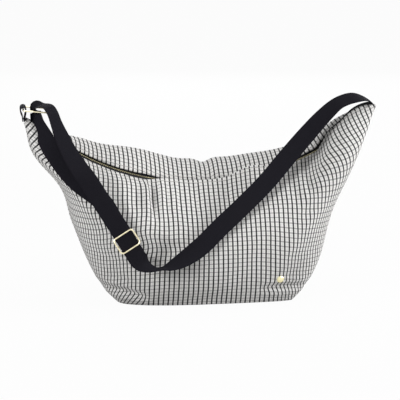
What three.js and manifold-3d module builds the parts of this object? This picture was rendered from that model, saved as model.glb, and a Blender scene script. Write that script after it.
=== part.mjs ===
// A half moon shoulder bag in checked cloth, with a zipped mouth and a webbing strap.
// Lengths are in millimetres. The front of the bag faces -Y, +X is to the right and +Z is up.
// The origin is the middle of the base, on the ground it stands on.
import * as THREE from "three";
import { mergeVertices } from "three/addons/utils/BufferGeometryUtils.js";
import ManifoldModule from "manifold-3d";

// Body of the bag
const baseLength = 308;
const baseDepth = 150;
const baseThickness = 3;
const hornReach = 306;
const mouthLow = 205;
const mouthRadius = 430;
const leftDroop = 16;
const cornerSpring = 27;
const sideWaist = 7;
const leftHip = 11;
const hipStart = 0.42;
const leftSquare = 0.38;
const rightSquare = 0.14;
const hornSquare = 0.75;
const frontBelly = 125;
const frontShoulder = 120;
const backBelly = 112;
const backShoulder = 98;
const backRidge = 172;
const leftRidge = 0.8;
const backLift = 26;
const panelThickness = 2;
const liningThickness = 0.8;
const liningInset = 4.1;
const liningTrim = 0.14;
const footGap = 0.4;
const baseGap = 0.2;
const seamGap = 0.2;
const gap = 0.3;

// Zip
const zipY = -8;
const slotHalf = 7;
const chainDrop = 2.2;
const toothPitch = 7;
const toothThickness = 2.6;
const toothHeight = 2.6;
const toothReach = 1.1;
const beadInner = 1.2;
const beadOuter = 2.6;
const tapeThickness = 0.7;
const tapeInset = 3;
const tapeTail = 10;
const sliderRest = THREE.MathUtils.degToRad(-34);
const chainEnd = THREE.MathUtils.degToRad(36);
const sliderLength = 14;
const sliderHalf = 4.4;
const plateThickness = 1.4;
const pullLength = 26;

// Strap and its hardware
const webWidth = 32;
const webThickness = 1.6;
const wire = 4;
const ringPlayX = 10;
const ringPlayY = 4;
const ringInnerX = webWidth + ringPlayX;
const ringInnerY = webWidth + ringPlayY;
const ringCentreY = zipY;
const tabFoot = 3.4;
const tabOut = 1;
const tabRise = 7.1;
const ringTilt = THREE.MathUtils.degToRad(6);
const tabHeight = 14.5;
const framePlay = 8;
const frameWidth = webWidth + framePlay;
const frameLength = 31;
const frameBar = 3;
const frameThickness = 2.6;
const frameLift = 1.1;
const barWidth = 2.4;
const barThickness = 2.2;
const barDepth = 4.6;
const studRadius = 5.5;
const studX = 125;
const studZ = 47;

const kernel = await ManifoldModule();
kernel.setup();

const vec = (x, y, z) => new THREE.Vector3(x, y, z);
const bezier = (a, b, c, d, v) => {
  const w = 1 - v;
  return a * w ** 3 + 3 * b * v * w * w + 3 * c * v * v * w + d * v ** 3;
};

// Closed solids from grids and from simple pieces

function signedVolume(points, faces) {
  let six = 0;
  for (const [a, b, c] of faces) {
    six += points[a].dot(points[b].clone().cross(points[c]));
  }
  return six / 6;
}

function solidFrom(points, faces) {
  const out = signedVolume(points, faces) < 0 ? faces.map(([a, b, c]) => [a, c, b]) : faces;
  const geometry = new THREE.BufferGeometry();
  const flat = points.flatMap((p) => [p.x, p.y, p.z]);
  geometry.setAttribute("position", new THREE.Float32BufferAttribute(flat, 3));
  geometry.setIndex(out.flat());
  geometry.computeVertexNormals();
  return geometry;
}

// A sheet with thickness: two grids of the same size, closed round their edges.
function sheet(top, bottom) {
  const rows = top.length;
  const cols = top[0].length;
  const points = [...top.flat(), ...bottom.flat()];
  const faces = [];
  const id = (side, i, j) => side * rows * cols + i * cols + j;
  const quad = (a, b, c, d) => faces.push([a, b, c], [a, c, d]);
  for (let i = 0; i < rows - 1; i += 1) {
    for (let j = 0; j < cols - 1; j += 1) {
      quad(id(0, i, j), id(0, i + 1, j), id(0, i + 1, j + 1), id(0, i, j + 1));
      quad(id(1, i, j), id(1, i, j + 1), id(1, i + 1, j + 1), id(1, i + 1, j));
    }
    quad(id(0, i, 0), id(1, i, 0), id(1, i + 1, 0), id(0, i + 1, 0));
    quad(id(0, i, cols - 1), id(0, i + 1, cols - 1), id(1, i + 1, cols - 1), id(1, i, cols - 1));
  }
  for (let j = 0; j < cols - 1; j += 1) {
    quad(id(0, 0, j), id(0, 0, j + 1), id(1, 0, j + 1), id(1, 0, j));
    quad(id(0, rows - 1, j), id(1, rows - 1, j), id(1, rows - 1, j + 1), id(0, rows - 1, j + 1));
  }
  return solidFrom(points, faces);
}

// A flat strip that follows a curve. Each station has a place and the way its width points.
function ribbon(stations, steps, width = webWidth, thickness = webThickness) {
  const spine = new THREE.CatmullRomCurve3(stations.map((s) => s.at), false, "centripetal");
  const last = stations.length - 1;
  const top = [];
  const bottom = [];
  for (let i = 0; i <= steps; i += 1) {
    const t = i / steps;
    const along = spine.getTangent(t);
    const k = Math.min(Math.floor(t * last), last - 1);
    const across = stations[k].across.clone().lerp(stations[k + 1].across, t * last - k);
    const normal = along.clone().cross(across).normalize();
    across.copy(normal).cross(along).normalize().multiplyScalar(width / 2);
    normal.multiplyScalar(thickness / 2);
    const edges = [-1, 1].map((s) => spine.getPoint(t).addScaledVector(across, s));
    top.push(edges.map((p) => p.clone().add(normal)));
    bottom.push(edges.map((p) => p.clone().sub(normal)));
  }
  return sheet(top, bottom);
}

function toManifold(geometry) {
  const bare = new THREE.BufferGeometry();
  bare.setAttribute("position", geometry.getAttribute("position"));
  bare.setIndex(geometry.getIndex());
  const whole = mergeVertices(bare, 1e-4);
  const mesh = new kernel.Mesh({
    numProp: 3,
    vertProperties: new Float32Array(whole.getAttribute("position").array),
    triVerts: new Uint32Array(whole.getIndex().array),
  });
  return new kernel.Manifold(mesh);
}

function union(...geometries) {
  const joined = kernel.Manifold.union(geometries.map(toManifold));
  const mesh = joined.getMesh();
  const geometry = new THREE.BufferGeometry();
  geometry.setAttribute("position", new THREE.Float32BufferAttribute(mesh.vertProperties, 3));
  geometry.setIndex([...mesh.triVerts]);
  geometry.computeVertexNormals();
  return geometry;
}

function block(x0, x1, y0, y1, z0, z1) {
  const geometry = new THREE.BoxGeometry(x1 - x0, y1 - y0, z1 - z0);
  return geometry.translate((x0 + x1) / 2, (y0 + y1) / 2, (z0 + z1) / 2);
}

function roundedPath(path, width, height, radius) {
  const w = width / 2;
  const h = height / 2;
  path.moveTo(-w + radius, -h);
  path.lineTo(w - radius, -h);
  path.absarc(w - radius, -h + radius, radius, -Math.PI / 2, 0, false);
  path.lineTo(w, h - radius);
  path.absarc(w - radius, h - radius, radius, 0, Math.PI / 2, false);
  path.lineTo(-w + radius, h);
  path.absarc(-w + radius, h - radius, radius, Math.PI / 2, Math.PI, false);
  path.lineTo(-w, -h + radius);
  path.absarc(-w + radius, -h + radius, radius, Math.PI, 1.5 * Math.PI, false);
  return path;
}

// A flat rounded frame with soft edges, centred on the origin in the XY plane.
function frame(width, height, bar, thickness, radius) {
  const soft = bar * 0.28;
  const shape = roundedPath(new THREE.Shape(), width - 2 * soft, height - 2 * soft, radius - soft);
  const innerRadius = Math.max(radius - bar, 0.6) + soft;
  const hole = new THREE.Path();
  roundedPath(hole, width - 2 * bar + 2 * soft, height - 2 * bar + 2 * soft, innerRadius);
  shape.holes.push(hole);
  const geometry = new THREE.ExtrudeGeometry(shape, {
    depth: thickness - 2 * soft,
    bevelThickness: soft,
    bevelSize: soft,
    bevelSegments: 1,
    curveSegments: 3,
  });
  return geometry.translate(0, 0, soft - thickness / 2);
}

// Cloth panels. Across runs from -1 at the left seam to 1 at the right, up from 0 to 1.

// Half the width at a height: a quick spring at the base corner, then a flare with a slight
// waist, and on the left a hip below the horn.
function seamReach(across, up) {
  const spring = cornerSpring * (1 - (1 - up) ** 8);
  const flare = (hornReach - baseLength / 2 - cornerSpring) * up;
  const waist = sideWaist * Math.sin(Math.PI * up) ** 2;
  const t = Math.max((up - hipStart) / (1 - hipStart), 0);
  const hip = across < 0 ? leftHip * Math.sin(2 * Math.PI * t) * Math.sin(Math.PI * t) : 0;
  return baseLength / 2 + spring + flare - waist - hip;
}

// How square the base corners are on each side: a smaller power gives a tighter corner.
function cornerPower(across) {
  return across < 0 ? leftSquare : rightSquare;
}

function mouthHeight(x) {
  return mouthLow + mouthRadius - Math.sqrt(Math.max(mouthRadius ** 2 - x * x, 0));
}

function panelPoint(front, across, up) {
  const turn = Math.sin((across * Math.PI) / 2);
  const fade = Math.max(Math.cos((across * Math.PI) / 2), 0);
  const droop = across < 0 ? leftDroop * Math.abs(across) ** 10 : 0;
  const rise = mouthHeight(hornReach * turn) - droop - footGap;
  const lid = up ** 6;
  const square = cornerPower(across);
  const round = (1 - lid) * fade ** (square + (hornSquare - square) * up) + lid * (1 - Math.abs(across) ** 10);
  const x = seamReach(across, up) * turn;
  const seamY = zipY * up ** 3;
  if (front) {
    const out = bezier(baseDepth / 2, frontBelly, frontShoulder, slotHalf - zipY, up);
    return vec(x, seamY - seamGap - (out + seamY) * round, footGap + rise * up);
  }
  const out = bezier(baseDepth / 2, backBelly, backShoulder, slotHalf + zipY, up);
  const skew = across < 0 ? leftRidge * across ** 2 * (1 - across ** 2) : 0;
  const ridge = (1 - across ** 2) * (1 + skew);
  const z = bezier(0, rise / 3 + backLift * ridge, (rise * 2) / 3 + backRidge * ridge, rise, up);
  return vec(x, seamY + seamGap + (out - seamY) * round, footGap + z);
}

// The same point moved into the bag along the panel's own normal.
function insetPoint(front, across, up, inset) {
  const step = 1e-3;
  const p = panelPoint(front, across, up);
  const side = Math.abs(across) < 1e-6 ? step : -Math.sign(across) * step;
  const lift = up > 0.5 ? -step : step;
  const du = panelPoint(front, across + side, up).sub(p).multiplyScalar(Math.sign(side));
  const dv = panelPoint(front, across, up + lift).sub(p).multiplyScalar(Math.sign(lift));
  const inward = dv.cross(du).multiplyScalar(front ? 1 : -1);
  if (Math.abs(across) > 0.999) {
    inward.y = 0;
  }
  return p.addScaledVector(inward.normalize(), inset);
}

const facetRun = 306 / 14;
const columns = 2 * Math.round(hornReach / facetRun);
const rows = 10;
const acrossAt = (i) => -1 + (2 * i) / columns;

// A point on the panel's flat facets, so that what lies under a panel stays parallel to it.
function facetPoint(front, column, up, inset) {
  const a = acrossAt(column);
  const j = Math.min(Math.floor(up * rows + 1e-9), rows - 1);
  const low = insetPoint(front, a, j / rows, inset);
  return low.lerp(insetPoint(front, a, (j + 1) / rows, inset), up * rows - j);
}

// The lining stops short of the horns, the more so the higher they rise.
const drawnRise = 127.9;
const hornTrim = (liningTrim * (mouthHeight(hornReach) - mouthLow)) / drawnRise;

function clothPanel(front, inner, thickness, low, high) {
  const outer = [];
  const under = [];
  for (let i = 0; i <= columns; i += 1) {
    const top = high - (high < 1 ? hornTrim * acrossAt(i) ** 4 : 0);
    const ups = [low];
    for (let j = 1; j < rows && j / rows < top - 0.02; j += 1) {
      ups.push(j / rows);
    }
    while (ups.length < rows) {
      ups.push(ups[ups.length - 1] * 0.4 + top * 0.6);
    }
    ups.push(top);
    outer.push(ups.map((u) => facetPoint(front, i, u, inner)));
    under.push(ups.map((u) => facetPoint(front, i, u, inner + thickness)));
  }
  return sheet(outer, under);
}

function baseOutline(inset) {
  const shape = new THREE.Shape();
  const count = 2 * columns;
  for (let i = 0; i < count; i += 1) {
    const a = acrossAt(i % columns);
    const turn = Math.sin((a * Math.PI) / 2) * (baseLength / 2 - inset);
    const back = i >= columns ? -1 : 1;
    const fade = Math.max(Math.cos((a * Math.PI) / 2), 0) ** cornerPower(back * a) * (baseDepth / 2 - inset);
    const method = i === 0 ? "moveTo" : "lineTo";
    shape[method](back * turn, -back * fade);
  }
  return shape;
}

function basePlate(inset, low, thickness) {
  const geometry = new THREE.ExtrudeGeometry(baseOutline(inset), {
    depth: thickness,
    bevelEnabled: false,
  });
  return geometry.translate(0, 0, low);
}

// Zip. Pieces are drawn at the lowest point of the mouth, then turned to their place on its arc.

const chainRadius = mouthRadius + chainDrop;
const arcCentreZ = mouthLow + mouthRadius;

function onArc(geometry, angle) {
  const turned = geometry.translate(0, 0, -chainRadius).rotateY(-angle);
  return turned.translate(0, zipY, arcCentreZ);
}

function arcStrip(from, to, pieces, y0, y1, z0, z1) {
  const top = [];
  const bottom = [];
  for (let i = 0; i <= pieces; i += 1) {
    const angle = from + ((to - from) * i) / pieces;
    const at = (y, z) => {
      const r = chainRadius - z;
      return vec(r * Math.sin(angle), zipY + y, arcCentreZ - r * Math.cos(angle));
    };
    top.push([at(y0, z1), at(y1, z1)]);
    bottom.push([at(y0, z0), at(y1, z0)]);
  }
  return sheet(top, bottom);
}

function toothRow(front) {
  const way = front ? -1 : 1;
  const h = toothHeight / 2;
  const step = toothPitch / chainRadius;
  const beadStart = sliderRest - (sliderLength / 2 + 2.5) / chainRadius;
  const bead = [way * beadInner, way * beadOuter].sort((a, b) => a - b);
  const pieces = [arcStrip(beadStart, chainEnd, 44, bead[0], bead[1], -h, h)];
  const reach = [-way * toothReach, way * (beadInner + 0.5)].sort((a, b) => a - b);
  const half = toothThickness / 2;
  const first = sliderRest + (front ? 0 : step / 2);
  for (let angle = first; angle + step / 2 < chainEnd; angle += step) {
    pieces.push(onArc(block(-half, half, reach[0], reach[1], -h * 0.85, h * 0.85), angle));
  }
  return union(...pieces);
}

// The tape follows the panels' columns and ends a little past the stops at both ends.
function zipTape(front) {
  const way = front ? -1 : 1;
  const top = [];
  const bottom = [];
  const end = chainEnd + tapeTail / mouthRadius;
  const reach = (Math.asin((mouthRadius * Math.sin(end)) / hornReach) * 2) / Math.PI;
  const ends = [-reach, reach].map((a) => ((a + 1) / 2) * columns);
  const inner = Array.from({ length: columns + 1 }, (_, i) => i).filter((i) => i > ends[0] && i < ends[1]);
  for (const i of [ends[0], ...inner, ends[1]]) {
    const turn = Math.sin((acrossAt(i) * Math.PI) / 2);
    const angle = Math.asin((hornReach * turn) / mouthRadius);
    const k = Math.min(Math.floor(i), columns - 1);
    const under = (u, inset) => facetPoint(front, k, u, inset).lerp(facetPoint(front, k + 1, u, inset), i - k);
    const rim = (lift) => {
      const r = chainRadius - lift;
      const y = zipY + way * (beadOuter + gap);
      return vec(r * Math.sin(angle), y, arcCentreZ - r * Math.cos(angle));
    };
    const row = (inset, lift) => [rim(lift), ...[1, 0.98, 0.96].map((u) => under(u, inset))];
    top.push(row(tapeInset, tapeThickness / 2));
    bottom.push(row(tapeInset + tapeThickness, -tapeThickness / 2));
  }
  return sheet(top, bottom);
}

function topStop(front) {
  const way = front ? -1 : 1;
  const near = -sliderLength / 2 - 3.6;
  const y = [way * beadInner * 0.7, way * (beadOuter + 0.1)].sort((a, b) => a - b);
  return onArc(block(near - 3, near, y[0], y[1], -1.5, 1.5), sliderRest);
}

function bottomStop() {
  return onArc(block(gap, 4.5, -beadOuter, beadOuter, -1.6, 1.6), chainEnd);
}

const plateGap = toothHeight / 2 + 0.4;
const plateTop = plateGap + plateThickness;
const pullZ = plateTop + 1.2;
const pivotX = 0;

function zipSlider() {
  const l = sliderLength / 2;
  const w = sliderHalf;
  const lip = 0.7;
  const tapeRoom = tapeThickness / 2 + 0.5;
  const pieces = [
    block(-l, l, -w, w, plateGap, plateTop),
    block(-l, l, -w, w, -plateTop, -plateGap),
    block(-l + 1, -l + 3.4, -0.9, 0.9, -plateGap - 0.2, plateGap + 0.2),
  ];
  for (const s of [-1, 1]) {
    const y = [s * w, s * (w - lip)].sort((a, b) => a - b);
    pieces.push(block(-l + 3, l, y[0], y[1], tapeRoom, plateGap + 0.2));
    pieces.push(block(-l + 3, l, y[0], y[1], -plateGap - 0.2, -tapeRoom));
  }
  const arch = new THREE.Shape();
  arch.absarc(pivotX, plateTop - 0.4, 4.2, 0, Math.PI, false);
  const under = new THREE.Path();
  arch.lineTo(pivotX - 2.9, plateTop - 0.4);
  under.absarc(pivotX, plateTop - 0.4, 2.9, Math.PI, 0, true);
  for (const p of under.getPoints(8)) {
    arch.lineTo(p.x, p.y);
  }
  const bridge = new THREE.ExtrudeGeometry(arch, { depth: 2.2, bevelEnabled: false, curveSegments: 8 });
  pieces.push(bridge.translate(0, 0, -1.1).rotateX(Math.PI / 2));
  return onArc(union(...pieces), sliderRest);
}

function zipPull() {
  const shape = new THREE.Shape();
  shape.moveTo(-0.8, -3.2);
  shape.lineTo(5.6, -3.2);
  shape.lineTo(9, -4.4);
  shape.lineTo(pullLength - 3.4, -3.4);
  shape.absarc(pullLength - 3.4, 0, 3.4, -Math.PI / 2, Math.PI / 2, false);
  shape.lineTo(9, 4.4);
  shape.lineTo(5.6, 3.2);
  shape.lineTo(-0.8, 3.2);
  const eye = new THREE.Path();
  eye.moveTo(0.8, -1.6);
  eye.lineTo(0.8, 1.6);
  eye.lineTo(5.6, 1.6);
  eye.lineTo(5.6, -1.6);
  shape.holes.push(eye);
  const plate = new THREE.ExtrudeGeometry(shape, { depth: 1.5, bevelEnabled: false, curveSegments: 8 });
  return onArc(plate.translate(pivotX, 0, pullZ - 0.75), sliderRest);
}

// Strap. Its route is drawn for the horns, the front swell and the webbing named here. It is
// carried to other sizes by their ratios, and wider webbing stands off the tab and the front. The adjuster sits on a straight stretch of the front leg.

const tipZ = mouthHeight(hornReach);
const drawnReach = 306;
const drawnTipZ = 332.9;
const drawnSwell = 245;
const drawnWeb = 32;
const ringSide = -270;
const anchorSide = 200;
const spread = (webWidth - drawnWeb) / 2;
const routeX = hornReach / drawnReach;
const routeY = (frontBelly + frontShoulder) / drawnSwell;
const routeZ = (z) => z + (tipZ - drawnTipZ) * Math.min(z / drawnTipZ, 1);
const tabBarX = -hornReach - tabOut;
const tabBarZ = tipZ + tabRise;
const route = (x, y, z) => {
  const aside = x < ringSide ? spread : 0;
  const away = x > ringSide && x < anchorSide ? spread : 0;
  return vec(x * routeX + aside, y * routeY - away, routeZ(z));
};
const station = (x, y, z, ax, ay, az) => ({ at: route(x, y, z), across: vec(ax, ay, az) });
const adjusterAt = route(-140, -112, 128);
const legTop = route(-262, -38, 322);
const legDown = adjusterAt.clone().sub(legTop).normalize();
const legAcross = vec(-legDown.z, 0, legDown.x).normalize();
const legOut = legAcross.clone().cross(legDown.clone().negate()).normalize();

function onLeg(down, out) {
  const at = adjusterAt.clone().addScaledVector(legDown, down).addScaledVector(legOut, out);
  return { at, across: legAcross };
}

function shoulderStrap() {
  const stations = [
    station(-284.5, -20.5, 340, 1, 0.03, 0.02),
    station(-284.5, -20, 348, 1, 0.03, 0.02),
    station(-285, -23.5, 355.4, 1, 0, 0.02),
    station(-285, -30, 357.6, 1, -0.03, 0.03),
    station(-284.2, -35.5, 351.8, 0.98, -0.06, 0.08),
    station(-279.5, -38.3, 340, 0.93, -0.12, 0.3),
    onLeg(-226, 0.3),
    onLeg(-170, 0),
    onLeg(-120, 0),
    onLeg(-60, 0),
    onLeg(0, 0),
    onLeg(24, 0),
    onLeg(36, 0.5),
    station(-107, -124, 87, 0.5, 0.78, 0.15),
    station(-85, -122.5, 81, 0.1, 0.97, -0.2),
    station(-59, -120.5, 88, -0.35, 0.88, 0.28),
    station(-19, -112, 111, -0.58, 0.4, 0.7),
    station(21, -97, 144, -0.66, 0.25, 0.72),
    station(62, -80, 176, -0.68, 0.2, 0.72),
    station(103, -62, 210, -0.7, 0.2, 0.7),
    station(142, -45, 250, -0.72, 0.25, 0.66),
    station(176, -32, 285, -0.7, 0.35, 0.6),
    station(210, -19, 317, -0.58, 0.6, 0.52),
    station(236, -11, 335, -0.32, 0.85, 0.36),
    station(252, -8.4, 341.6, -0.1, 0.97, 0.22),
    station(262, -8, 343.6, 0, 0.98, 0.18),
    station(271, -8, 344, 0, 0.98, 0.18),
  ];
  return ribbon(stations, 92);
}

function strapReturn() {
  const low = -barDepth - 2.4;
  const high = -barDepth + 2.4;
  const stations = [
    station(-284.6, -20.6, 338.8, 1, 0.03, 0.02),
    station(-285, -21.2, 331, 1, 0.03, 0.05),
    station(-283.3, -24.5, 318, 0.95, 0, 0.25),
    station(-276, -32, 300, 0.86, 0, 0.5),
    station(-262, -42, 276, 0.83, 0, 0.56),
    station(-225, -62, 227, 0.84, 0, 0.54),
    onLeg(-80, low - 3),
    onLeg(-44, low - 1),
    onLeg(-20, low),
    onLeg(-4, low),
    onLeg(0.6, low),
    onLeg(2.3, low + 0.7),
    onLeg(3, -barDepth),
    onLeg(2.3, high - 0.7),
    onLeg(0.6, high),
    onLeg(-4, high),
    onLeg(-20, high),
  ];
  return ribbon(stations, 96);
}

function strapAnchor() {
  const stations = [
    station(304.5, -8, 334.2, 0, 1, 0),
    station(303.5, -8, 338, 0, 1, 0),
    station(298.5, -8, 342, 0, 1, 0.04),
    station(288, -8, 344, 0, 1, 0.1),
    station(280, -8, 344, 0, 0.98, 0.18),
    station(271.3, -8, 344, 0, 0.98, 0.18),
  ];
  return ribbon(stations, 16);
}

function strapAdjuster() {
  const plate = frame(frameWidth, frameLength, frameBar, frameThickness, 4.5);
  plate.translate(0, 0, frameLift + frameThickness / 2);
  const inner = webWidth / 2 + 0.7;
  const outer = frameWidth / 2 - 0.3;
  const low = -barDepth - barThickness / 2;
  const pieces = [plate, block(-outer, outer, -barWidth / 2, barWidth / 2, low, low + barThickness)];
  for (const s of [-1, 1]) {
    const x = [s * inner, s * outer].sort((a, b) => a - b);
    pieces.push(block(x[0], x[1], -barWidth / 2, barWidth / 2, low, frameLift + 1));
  }
  const basis = new THREE.Matrix4().makeBasis(legAcross, legDown.clone().negate(), legOut);
  basis.setPosition(adjusterAt);
  return union(...pieces).applyMatrix4(basis);
}

function strapRing() {
  const outerX = ringInnerX + 2 * wire;
  const outerY = ringInnerY + 2 * wire;
  const ring = frame(outerX, outerY, wire, wire, 6);
  const toBar = ringInnerX / 2 + wire / 2;
  return ring.translate(toBar, ringCentreY, 0).rotateY(ringTilt).translate(tabBarX, 0, tabBarZ);
}

function ringTab() {
  const foot = tipZ - leftDroop + tabFoot;
  const point = (x, z) => ({ at: vec(x, ringCentreY, z), across: vec(0, 1, 0) });
  const half = wire / 2 + webThickness / 2 + 0.7;
  const top = tabBarZ + tabHeight;
  const stations = [
    point(tabBarX - 1, foot),
    point(tabBarX - 1.2, foot + 6),
    point(tabBarX - half, tabBarZ - 4),
    point(tabBarX - half, tabBarZ + 6),
    point(tabBarX - half * 0.72, top - 1.6),
    point(tabBarX, top),
    point(tabBarX + half * 0.72, top - 1.6),
    point(tabBarX + half, tabBarZ + 6),
    point(tabBarX + half, tabBarZ - 4),
    point(tabBarX + 2.6, foot + 6),
    point(tabBarX + 1, foot),
  ];
  return ribbon(stations, 40);
}

// The stud lies on the cloth's facet at its middle, lifted clear of any facet under its rim.
function accentStud(panel) {
  const inward = vec(0, 1, 0);
  const strike = (x, z) => new THREE.Raycaster(vec(x, -1000, z), inward).intersectObject(panel)[0];
  const hit = strike(studX, studZ);
  const plane = new THREE.Plane().setFromNormalAndCoplanarPoint(hit.face.normal, hit.point);
  const rim = Array.from({ length: 16 }, (_, i) => (i * Math.PI) / 8);
  const heights = rim.map((t) => strike(studX + studRadius * Math.cos(t), studZ + studRadius * Math.sin(t)));
  const lift = Math.max(0, ...heights.map((h) => plane.distanceToPoint(h.point)));
  const profile = [
    new THREE.Vector2(0, gap),
    new THREE.Vector2(studRadius, gap),
    new THREE.Vector2(studRadius, gap + 0.8),
    new THREE.Vector2(studRadius * 0.8, gap + 1.7),
    new THREE.Vector2(0, gap + 2.2),
    new THREE.Vector2(0, gap),
  ];
  const cap = new THREE.LatheGeometry(profile, 20);
  const turn = new THREE.Quaternion().setFromUnitVectors(vec(0, 1, 0), hit.face.normal);
  const foot = hit.point.clone().addScaledVector(hit.face.normal, lift);
  return cap.applyQuaternion(turn).translate(foot.x, foot.y, foot.z);
}

// Assembly

const cloth = { color: 0xd9d6cf, roughness: 0.9, metalness: 0 };
const linen = { color: 0xb9b4aa, roughness: 0.9, metalness: 0 };
const webbing = { color: 0x16171c, roughness: 0.85, metalness: 0 };
const brass = { color: 0xc6a15b, roughness: 0.3, metalness: 1 };

const bag = new THREE.Group();
bag.name = "half_moon_bag";

function add(name, geometry, look) {
  const mesh = new THREE.Mesh(geometry, new THREE.MeshStandardMaterial(look));
  mesh.name = name;
  bag.add(mesh);
  return mesh;
}

const front = add("front_panel", clothPanel(true, 0, panelThickness, 0, 1), cloth);
front.material.side = THREE.DoubleSide;
add("back_panel", clothPanel(false, 0, panelThickness, 0, 1), cloth);
add("base_panel", basePlate(panelThickness + baseGap, 0, baseThickness), cloth);
const liningLow = (baseThickness + 0.5) / mouthLow;
add("front_lining", clothPanel(true, liningInset, liningThickness, liningLow, 0.97), linen);
add("back_lining", clothPanel(false, liningInset, liningThickness, liningLow, 0.97), linen);
const liningEdge = liningInset + liningThickness + 0.6;
add("base_lining", basePlate(liningEdge, baseThickness + gap, liningThickness), linen);
add("front_zip_tape", zipTape(true), webbing);
add("back_zip_tape", zipTape(false), webbing);
add("front_zip_teeth", toothRow(true), brass);
add("back_zip_teeth", toothRow(false), brass);
add("zip_top_stop_front", topStop(true), brass);
add("zip_top_stop_back", topStop(false), brass);
add("zip_bottom_stop", bottomStop(), brass);
add("zip_slider", zipSlider(), brass);
add("zip_pull", zipPull(), brass);
add("ring_tab", ringTab(), webbing);
add("strap_ring", strapRing(), brass);
add("shoulder_strap", shoulderStrap(), webbing);
add("strap_return", strapReturn(), webbing);
add("strap_adjuster", strapAdjuster(), brass);
add("strap_anchor", strapAnchor(), webbing);
add("accent_stud", accentStud(front), brass);

export default bag;
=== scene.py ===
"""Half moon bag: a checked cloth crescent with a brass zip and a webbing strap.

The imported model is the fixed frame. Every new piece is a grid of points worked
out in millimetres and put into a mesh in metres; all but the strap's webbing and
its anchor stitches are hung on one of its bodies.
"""

import logging
import math
from dataclasses import dataclass
from enum import Enum

import bpy
import mathutils
import numpy as np
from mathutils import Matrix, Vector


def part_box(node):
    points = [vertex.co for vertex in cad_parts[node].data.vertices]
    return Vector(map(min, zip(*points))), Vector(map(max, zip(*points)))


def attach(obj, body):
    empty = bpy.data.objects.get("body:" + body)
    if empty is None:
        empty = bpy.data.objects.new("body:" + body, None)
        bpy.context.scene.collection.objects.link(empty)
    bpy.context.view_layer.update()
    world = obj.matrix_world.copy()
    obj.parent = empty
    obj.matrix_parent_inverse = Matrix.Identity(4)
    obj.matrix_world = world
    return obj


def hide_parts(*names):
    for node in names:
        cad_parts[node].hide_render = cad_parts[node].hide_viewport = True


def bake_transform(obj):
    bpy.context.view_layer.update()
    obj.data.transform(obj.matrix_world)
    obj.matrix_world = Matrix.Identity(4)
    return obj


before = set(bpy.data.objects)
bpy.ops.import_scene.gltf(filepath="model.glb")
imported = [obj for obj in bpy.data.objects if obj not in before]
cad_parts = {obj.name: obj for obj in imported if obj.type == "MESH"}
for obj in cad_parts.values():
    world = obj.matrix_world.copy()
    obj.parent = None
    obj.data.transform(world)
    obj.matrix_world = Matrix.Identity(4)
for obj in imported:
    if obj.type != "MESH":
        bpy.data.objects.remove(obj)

LOG = logging.getLogger("half_moon_bag")
Array = np.ndarray
Triple = tuple[float, float, float]
Material = bpy.types.Material
Socket = bpy.types.NodeSocket
MM = 0.001
UV_NAME = "weave"
X_AXIS, Y_AXIS, Z_AXIS = np.eye(3)


class Side(Enum):
    """The two cloth sides of the bag, valued by the way their outside faces in Y."""

    FRONT = -1
    BACK = 1


# Small helpers


def unit(v: Array) -> Array:
    """Vectors along the last axis, scaled to length one."""
    size = np.linalg.norm(v, axis=-1, keepdims=True)
    return v / np.where(size < 1e-9, 1.0, size)


def ease(low: float, high: float, t: Array) -> Array:
    """Smooth step: 0 up to low, 1 from high, three t squared less two t cubed between."""
    s = np.clip((np.asarray(t, float) - low) / (high - low), 0.0, 1.0)
    return s * s * (3.0 - 2.0 * s)


def window(a: float, b: float, c: float, d: float, t: Array) -> Array:
    """A smooth step up from a to b times a smooth step down from c to d."""
    return ease(a, b, t) * (1 - ease(c, d, t))


def bell(t: Array, centre: float, width: float) -> Array:
    """A bell curve: e to the minus square of the distance from centre in widths."""
    return np.exp(-(((t - centre) / width) ** 2))


def cubic(a: Array, b: Array, c: Array, d: Array, t: Array) -> Array:
    """A cubic's value at t: four control values weighed by the powers of t and one less t."""
    w = 1.0 - t
    return a * w**3 + 3 * b * t * w * w + 3 * c * t * t * w + d * t**3


def spline(stations: Array, steps: int) -> tuple[Array, Array]:
    """A smooth curve: a cubic between each two stations, whose end slopes weigh the
    chords by the square roots of their lengths.

    Args:
        stations: The points that the curve passes through, (k, 3).
        steps: How many points to return.

    Returns:
        The points, (steps, 3), and each one's place counted in stations.
    """
    s = np.asarray(stations, float)
    ends = np.vstack([2 * s[0] - s[1], s, 2 * s[-1] - s[-2]])
    t = np.linspace(0.0, len(s) - 1.0, steps)
    k = np.minimum(t.astype(int), len(s) - 2)
    f = (t - k)[:, None]
    p0, p1, p2, p3 = (ends[k + i] for i in range(4))
    d0, d1, d2 = (
        np.sqrt(np.linalg.norm(b - a, axis=1, keepdims=True))
        for a, b in ((p0, p1), (p1, p2), (p2, p3))
    )
    m1 = ((p1 - p0) / d0 - (p2 - p0) / (d0 + d1) + (p2 - p1) / d1) * d1
    m2 = ((p2 - p1) / d1 - (p3 - p1) / (d1 + d2) + (p3 - p2) / d2) * d1
    square = -3 * p1 + 3 * p2 - 2 * m1 - m2
    cube = 2 * p1 - 2 * p2 + m1 + m2
    return p1 + m1 * f + square * f**2 + cube * f**3, t


def summed(steps: Array, axis: int) -> Array:
    """Running sums along an axis, from nought."""
    pad = [(int(i == axis), 0) for i in range(steps.ndim)]
    return np.cumsum(np.pad(steps, pad), axis=axis)


def travelled(points: Array, axis: int = 0) -> Array:
    """Distance along a line of points, or along one axis of a grid, from its first."""
    return summed(np.linalg.norm(np.diff(points, axis=axis), axis=-1), axis)


def column_interp(t: Array, at: Array, values: Array) -> Array:
    """Linear interpolation of each column of values, known at at, to t."""
    return np.stack([np.interp(t, at, column) for column in values.T], axis=1)


def smoothed(values: Array, reach: int) -> Array:
    """Each column's running mean over reach rows to either side, its ends held."""
    wide = 2 * reach + 1
    total = np.cumsum(np.pad(values, ((reach + 1, reach), (0, 0)), mode="edge"), axis=0)
    return (total[wide:] - total[:-wide]) / wide


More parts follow.
